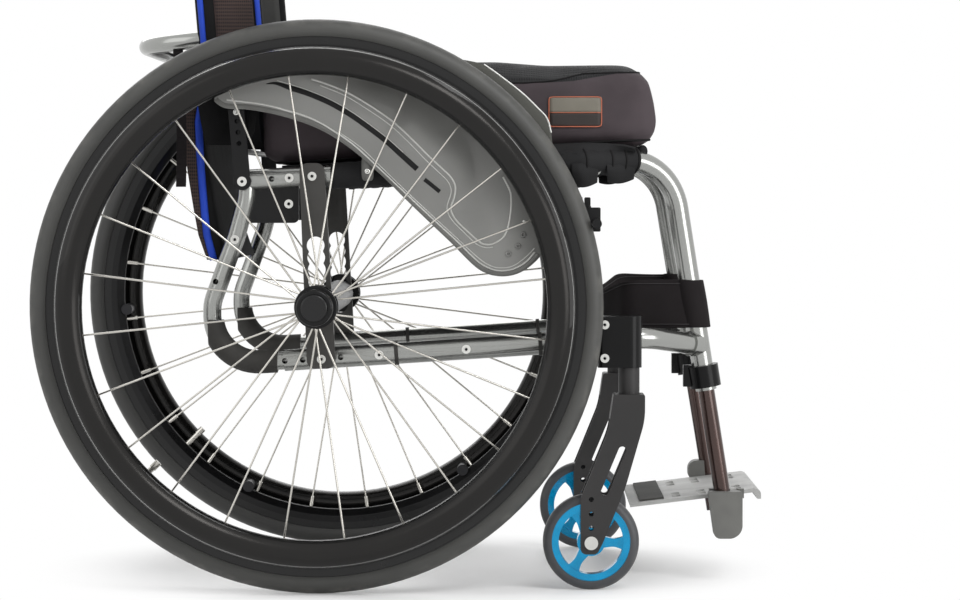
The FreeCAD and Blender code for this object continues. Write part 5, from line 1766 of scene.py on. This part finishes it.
    def _fixings(self, side: Side) -> List[bpy.types.Object]:
        """The posts and the bracket that hold the guard off the rail.

        Args:
            side: Which guard.

        Returns:
            The pieces.
        """
        made = []
        for i, x in enumerate(self.post_places):
            centre = Vector((x, side.value * self.post_from, self.rails.height(x)))
            reach = abs(self._at(x, centre.z, side, -self.thickness).y) - self.post_from + 0.001
            profile = [(self.post_radius * share, out) for share, out in (
                (1.25, 0.0), (1.0, 0.003), (1.0, reach - 0.002), (1.3, reach - 0.0006), (1.3, reach - 0.0002))]
            name = f"guard_post_{side.word}_{i}"
            made.append(Shape.turned(name, centre, side, profile, Finishes.black_metal))
        x, low, high = self.bracket
        top = self.face - self.thickness - 0.0006
        rings = []
        for out, shrink in ((self.bracket_from, 0.0008), (self.bracket_from + 0.0016, 0.0), (top, 0.0)):
            section = Shape.rounded(self.bracket_half - shrink, (high - low) / 2 - shrink, 4.0, 32)
            rings.append([Vector((x + a, side.value * out, (low + high) / 2 + b)) for a, b in section])
        made.append(Shape.loft(f"guard_bracket_{side.word}", rings, Finishes.hinge))
        head = Vector((x, side.value * top, self.bracket_screw))
        made.append(Shape.screw(f"guard_bracket_screw_{side.word}", head, side, 0.0034, Finishes.bolt))
        return made


@dataclass
class Backrest:
    """Upholstery of the back: two padded wings round the canes, the panel between and the skirt."""

    pivot: Tuple[float, float] = (-0.1655, 0.4239)
    recline: float = math.radians(4.8)
    wing_from: float = 0.088
    wing_to: float = 0.427
    front: float = 0.035
    rear: float = 0.034
    inner: float = 0.1935
    outer: float = 0.2185
    panel_thickness: float = 0.013
    skirt_half: float = 0.188
    skirt_thickness: float = 0.026
    piping_in: Tuple[float, float] = (0.0194, 0.0080)
    piping_range: Tuple[float, float] = (0.487, 0.345)
    bracket_screw: Tuple[float, float] = (-0.1711, 0.4959)
    bracket_face: float = 0.2242
    side_cloth: Tuple[Tuple[float, float, float], ...] = (
        (-0.2160, -0.1500, 0.5220), (-0.2135, -0.1512, 0.5060), (-0.2110, -0.1525, 0.4900),
        (-0.2080, -0.1540, 0.4760), (-0.2055, -0.1590, 0.4665), (-0.2045, -0.1650, 0.4620),
    )
    side_cloth_y: float = 0.2000
    loose_x: float = -0.2340
    loose_y: float = 0.2035
    loose_top: float = 0.570
    loose_bottom: float = 0.4185
    loose_width: float = 0.0105
    skirt_line: Tuple[Tuple[float, float], ...] = (
        (-0.213, 0.585), (-0.2180, 0.548), (-0.2275, 0.520), (-0.2330, 0.487), (-0.2292, 0.455),
        (-0.2247, 0.425), (-0.2194, 0.392), (-0.2150, 0.368), (-0.2060, 0.342),
    )

    def place(self, along: float, y: float, up: float) -> Vector:
        """Turn a place of the upright back to its recline.

        Args:
            along: Forward of the canes' line.
            y: Across the chair.
            up: Above the pivot.

        Returns:
            The place in the chair's frame.
        """
        x = self.pivot[0] + along * math.cos(self.recline) - up * math.sin(self.recline)
        z = self.pivot[1] + along * math.sin(self.recline) + up * math.cos(self.recline)
        return Vector((x, y, z))

    def build(self) -> None:
        """Build the wings, panel, skirt and piping, and hang them on the back."""
        panel = self._panel()
        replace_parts(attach(panel, "backrest"), "back_upholstery")
        for side in Side:
            wing = self._wing(side)
            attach(wing, "backrest")
            for trim in self._trims(side):
                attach(trim, "backrest")
            loose = self._loose_strap(side)
            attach(loose, "backrest")
            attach(self._side_cloth(side), "backrest")
            centre = Vector((self.bracket_screw[0], side.value * self.bracket_face, self.bracket_screw[1]))
            head = Shape.screw(f"bracket_screw_{side.word}", centre, side, 0.0036, Finishes.bolt)
            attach(head, "backrest")
        skirt = self._skirt()
        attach(skirt, "backrest")

    def _wing(self, side: Side) -> bpy.types.Object:
        """A padded wing round one cane.

        Args:
            side: Which cane.

        Returns:
            The wing.
        """
        rings = []
        rows = 30
        middle = (self.front - self.rear) / 2
        centre = (self.inner + self.outer) / 2
        for i in range(rows + 1):
            share = i / rows
            up = self.wing_from + (self.wing_to - self.wing_from) * share
            end = min(share, 1.0 - share) * rows
            close = 1.0 if end >= 2 else (0.80, 0.95)[int(end)]
            half_x = (self.front + self.rear) / 2 * close
            half_y = (self.outer - self.inner) / 2 * close
            rings.append([self.place(middle + x, side.value * (centre + y), up)
                          for x, y in Shape.rounded(half_x, half_y, 5.0, 36)])
        return Shape.loft(f"back_wing_{side.word}", rings, Finishes.back_cloth)

    def _trims(self, side: Side) -> List[bpy.types.Object]:
        """Piping and side panel of one wing, and the piping of the skirt below it.

        Args:
            side: Which side.

        Returns:
            The trims.
        """
        low, high = self.wing_from + 0.004, self.wing_to - 0.004
        made = []
        pipings = (("front", self.front - 0.0040, 0.0028), ("rear", 0.0060 - self.rear, 0.0032))
        for name, along, radius in pipings:
            line = [self.place(along, side.value * (self.outer - 0.001), low + (high - low) * i / 24)
                    for i in range(25)]
            made.append(Shape.rope(f"wing_piping_{name}_{side.word}", line, radius, Finishes.piping, sides=10))
        made.append(Shape.cloth(
            f"wing_panel_{side.word}", (24, 8), lambda up, along: self.place(
                0.0400 * along - 0.0138, side.value * (self.outer + 0.0064 * along * (1 - along) - 0.0002),
                low + (high - low) * up), Finishes.back_panel, 0.0016))
        made.append(Shape.cloth(
            f"wing_lining_{side.word}", (24, 8), lambda up, along: self.place(
                0.053 * along - 0.024, side.value * (self.inner - 0.0004 - 0.0016 * math.sin(math.pi * along)),
                low + (high - low) * up), Finishes.lining, 0.0012))
        edge = [Vector((x + self._piping_off(z), side.value * (self.skirt_half - 0.001), z))
                for x, z in self._fine_skirt()]
        made.append(Shape.rope(f"skirt_piping_{side.word}", edge, 0.0042, Finishes.piping, sides=10))
        cheek_rows = []
        for x, z in self._fine_skirt():
            reach = max(0.001, self._piping_off(z) - 0.0050)
            cheek_rows.append([Vector((x + 0.0010 + reach * j / 5, side.value * (self.skirt_half + 0.0003), z))
                               for j in range(6)])
        made.append(Shape.skin(f"skirt_cheek_{side.word}", cheek_rows, Finishes.back_panel, 0.0012))
        return made

    def _side_cloth(self, side: Side) -> bpy.types.Object:
        """The cloth that closes the back's lower corner beside the seat.

        Args:
            side: Which side.

        Returns:
            The cloth.
        """
        rows = []
        for rear, front, z in self.side_cloth:
            rows.append([Vector((rear + (front - rear) * j / 8,
                                 side.value * (self.side_cloth_y + 0.0008 * math.sin(j * 1.1)), z))
                         for j in range(9)])
        return Shape.skin(f"back_side_cloth_{side.word}", rows, Finishes.back_cloth, 0.0022, 0.0004)

    def _piping_off(self, height: float) -> float:
        """How far the skirt's piping lies ahead of its rear edge.

        Args:
            height: The height on the skirt.

        Returns:
            The distance, less towards the bottom.
        """
        top, bottom = self.piping_range
        share = min(1.0, max(0.0, (top - height) / (top - bottom)))
        return self.piping_in[0] + (self.piping_in[1] - self.piping_in[0]) * share

    def _loose_strap(self, side: Side) -> bpy.types.Object:
        """A ribbed strap end that hangs from the cross bow beside the skirt.

        Args:
            side: Which side.

        Returns:
            The strap.
        """
        def point(down: float, across: float) -> Vector:
            """A point of the strap.

            Args:
                down: The share of the way down.
                across: The share of the way across.

            Returns:
                The point.
            """
            x = self.loose_x + 0.004 * math.sin(2.2 * down) + self.loose_width * (across - 0.5)
            y = side.value * (self.loose_y + 0.0007 * math.sin(down * 102.4))
            return Vector((x, y, self.loose_top + (self.loose_bottom - self.loose_top) * down))

        return Shape.cloth(f"loose_strap_{side.word}", (64, 4), point, Finishes.strap, 0.0022, 0.0004)

    def _panel(self) -> bpy.types.Object:
        """The padded panel between the wings, quilted across.

        Returns:
            The panel.
        """
        rings = []
        rows = 72
        for i in range(rows + 1):
            share = i / rows
            up = self.wing_from + (self.wing_to - self.wing_from - 0.002) * share
            quilt = 0.55 + 0.45 * abs(math.sin(math.pi * share * 6.0)) ** 0.5
            end = min(share, 1.0 - share) * rows
            close = 1.0 if end >= 3 else 0.4 + 0.2 * end
            thick = self.panel_thickness / 2 * quilt * close
            rings.append([self.place(0.0075 - self.rear + b * thick, a * (self.inner + 0.002), up)
                          for a, b in Shape.rounded(1.0, 1.0, 6.0, 72)])
        return Shape.loft("back_panel", rings, Finishes.back_cloth)

    def _fine_skirt(self) -> List[Tuple[float, float]]:
        """The skirt's rear line with points added between.

        Returns:
            The places along and up.
        """
        fine = []
        for (x0, z0), (x1, z1) in zip(self.skirt_line, self.skirt_line[1:]):
            fine += [(x0 + (x1 - x0) * k / 4, z0 + (z1 - z0) * k / 4) for k in range(4)]
        return fine + [self.skirt_line[-1]]

    def _skirt(self) -> bpy.types.Object:
        """The padded skirt that bulges behind the seat.

        Returns:
            The skirt.
        """
        rings = []
        for x, z in self._fine_skirt():
            rings.append([Vector((x + self.skirt_thickness / 2 * (1.0 + b), a * self.skirt_half, z))
                          for a, b in Shape.rounded(1.0, 1.0, 8.0, 72)])
        return Shape.loft("back_skirt", rings, Finishes.back_cloth)


@dataclass
class Hardware:
    """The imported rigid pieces, each with its own finish."""

    def build(self) -> None:
        """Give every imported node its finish."""
        finishes = {}
        for finish, names in (
            (Finishes.bearing, "wheel_bearings quick_release_pins stem_bearings"),
            (Finishes.silver, "cross_tube rigidizer_bar"),
            (Finishes.plate, "axle_plates back_release_rod"),
            (Finishes.black_metal, "axle_tube axle_receivers back_lock_plates back_brackets back_canes"),
            (Finishes.black_metal, "brake_mounts"),
            (Finishes.sleeve, "frame_sleeves"),
            (Finishes.bolt, "frame_bolts"),
            (Finishes.housing, "caster_housings footrest_clamps"),
            (Finishes.foot_tube, "footrest_tubes"),
            (Finishes.footplate, "footplate"),
            (Finishes.pad, "footplate_pad"),
            (Finishes.hinge, "footplate_hinge_base footplate_rest_hook"),
            (Finishes.strap, "calf_strap"),
            (Finishes.sling, "seat_sling"),
            (Finishes.cover, "seat_cushion"),
            (Finishes.back_cloth, "back_upholstery"),
        ):
            finishes.update(dict.fromkeys(names.split(), finish))
        for finish, names in (
            (Finishes.tyre, "tyre"), (Finishes.rim, "rim"), (Finishes.handrim, "handrim"),
            (Finishes.tab, "handrim_tabs"), (Finishes.steel, "spokes"), (Finishes.hub, "hub"),
            (Finishes.button, "release_button"), (Finishes.silver, "seat_frame lower_frame"),
            (Finishes.fork, "fork"), (Finishes.caster_rim, "caster_rim"), (Finishes.caster_tyre, "caster_tyre"),
            (Finishes.bolt, "caster_axle_set"), (Finishes.guard, "side_guard"),
            (Finishes.black_metal, "brake_shoe brake_lever"),
        ):
            finishes.update({f"{name}_{side.word}": finish for name in names.split() for side in Side})
        for name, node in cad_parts.items():
            node.data.materials.clear()
            node.data.materials.append(Finishes.of(finishes[name]))
        self._sockets()
        log.info("finished %d packed pieces", len(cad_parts))

    @staticmethod
    def _sockets() -> None:
        """Hexagon sockets in the heads of the frame's bolts that point out sideways, their floors painted near
        white as painted light.
        """
        form = bmesh.new()
        form.from_mesh(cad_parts["frame_bolts"].data)
        left = set(form.verts)
        made = []
        for first in form.verts:
            if first not in left:
                continue
            left.discard(first)
            island, edge = set(), [first]
            while edge:
                vertex = edge.pop()
                island.add(vertex)
                near = {link.other_vert(vertex) for link in vertex.link_edges} & left
                left -= near
                edge += near
            low = [min(v.co[i] for v in island) for i in range(3)]
            high = [max(v.co[i] for v in island) for i in range(3)]
            if abs((high[0] - low[0]) - (high[2] - low[2])) < 0.0006:
                middle = (low[1] + high[1]) / 2
                side = Side.LEFT if middle > 0 else Side.RIGHT
                out = high[1] if middle > 0 else low[1]
                radius = (high[0] - low[0]) / 2
                centre = Vector(((low[0] + high[0]) / 2, out, (low[2] + high[2]) / 2))
                profile = [(radius * r, off) for r, off in ((0.38, -0.0004), (0.38, 0.00015), (0.33, 0.00025))]
                # The socket floor takes the near-white finish: painted light inside the recess.
                made.append(Shape.turned(f"bolt_socket_{len(made)}", centre, side, profile, Finishes.socket, 0))
        form.free()
        for piece in made:
            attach(piece, "root")
        log.info("sockets: %d", len(made))


@dataclass
class Studio:
    """Floor, lamps, world and camera."""

    eye: Point = (0.118, -4.0, 0.412)
    aim: Point = (0.0795, 0.0, 0.2943)
    lens: float = 136.4
    floor_size: float = 30.0
    ambient: float = 0.55
    lamps: Tuple[Tuple[str, Point, Point, float, float], ...] = (
        ("key", (1.6, -2.6, 3.2), (0.0, 0.0, 0.3), 1.5, 62.0),
        ("low", (2.7, -2.3, 0.75), (0.1, 0.0, 0.3), 1.7, 34.0),
        ("fill", (-2.8, -2.2, 2.0), (0.0, 0.0, 0.3), 3.0, 24.0),
        ("rear", (-0.6, 3.0, 2.8), (0.0, 0.0, 0.4), 3.0, 50.0),
    )

    def build(self) -> None:
        """Set up everything round the chair."""
        self._floor()
        self._world()
        for lamp in self.lamps:
            self._lamp(*lamp)
        self._camera()
        log.info("studio built")

    def _floor(self) -> None:
        """The pale floor."""
        half = self.floor_size / 2
        corners = [Vector((x, y, 0.0)) for x, y in ((-half, -half), (half, -half), (half, half), (-half, half))]
        pale = PaleFloor("pale_floor", (0.93, 0.93, 0.93), 0.42, cloud=0.01, cloud_scale=2.0, relief=0.0)
        Shape.piece("floor", corners, [(0, 1, 2, 3)], pale)

    def _world(self) -> None:
        """A white room that the camera, gloss and glass see, and that lights softly."""
        world = bpy.data.worlds.new("room")
        bpy.context.scene.world = world
        world.use_nodes = True
        tree = Tree(world.node_tree)
        room = tree.tree.nodes["Background"]
        room.inputs["Color"].default_value = WHITE
        tree.link(tree.background() * (1.0 - self.ambient) + self.ambient, room.inputs["Strength"])

    @staticmethod
    def _lamp(name: str, place: Point, aim: Point, size: float, power: float) -> None:
        """A large soft lamp.

        Args:
            name: Its name.
            place: Where it hangs.
            aim: What it points at.
            size: Its side.
            power: Its power in watts.
        """
        data = bpy.data.lights.new(name, "AREA")
        data.size = size
        data.energy = power
        Studio._hang(name, data, place, aim)

    @staticmethod
    def _hang(name: str, data: bpy.types.ID, place: Point, aim: Point) -> bpy.types.Object:
        """Put a lamp or camera in its place.

        Args:
            name: Its name.
            data: Its settings.
            place: Where it hangs.
            aim: What it points at.

        Returns:
            The object.
        """
        made = bpy.data.objects.new(name, data)
        made.location = place
        made.rotation_euler = (Vector(aim) - Vector(place)).to_track_quat("-Z", "Y").to_euler()
        bpy.context.scene.collection.objects.link(made)
        return made

    def _camera(self) -> None:
        """The camera, at the photograph's angle."""
        data = bpy.data.cameras.new("camera")
        data.lens = self.lens
        data.sensor_width = 36.0
        bpy.context.scene.camera = self._hang("camera", data, self.eye, self.aim)


def main() -> None:
    """Build the chair's looks in order."""
    logging.basicConfig(level=logging.INFO, format="%(message)s")
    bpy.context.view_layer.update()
    bpy.context.scene.view_settings.view_transform = "Standard"
    rails = Rails()
    Studio().build()
    Hardware().build()
    SeatCushion(rails).build()
    SeatSling(rails).build()
    CalfStrap(rails).build()
    SideGuard(rails).build()
    Backrest().build()


if __name__ == "__main__":
    main()
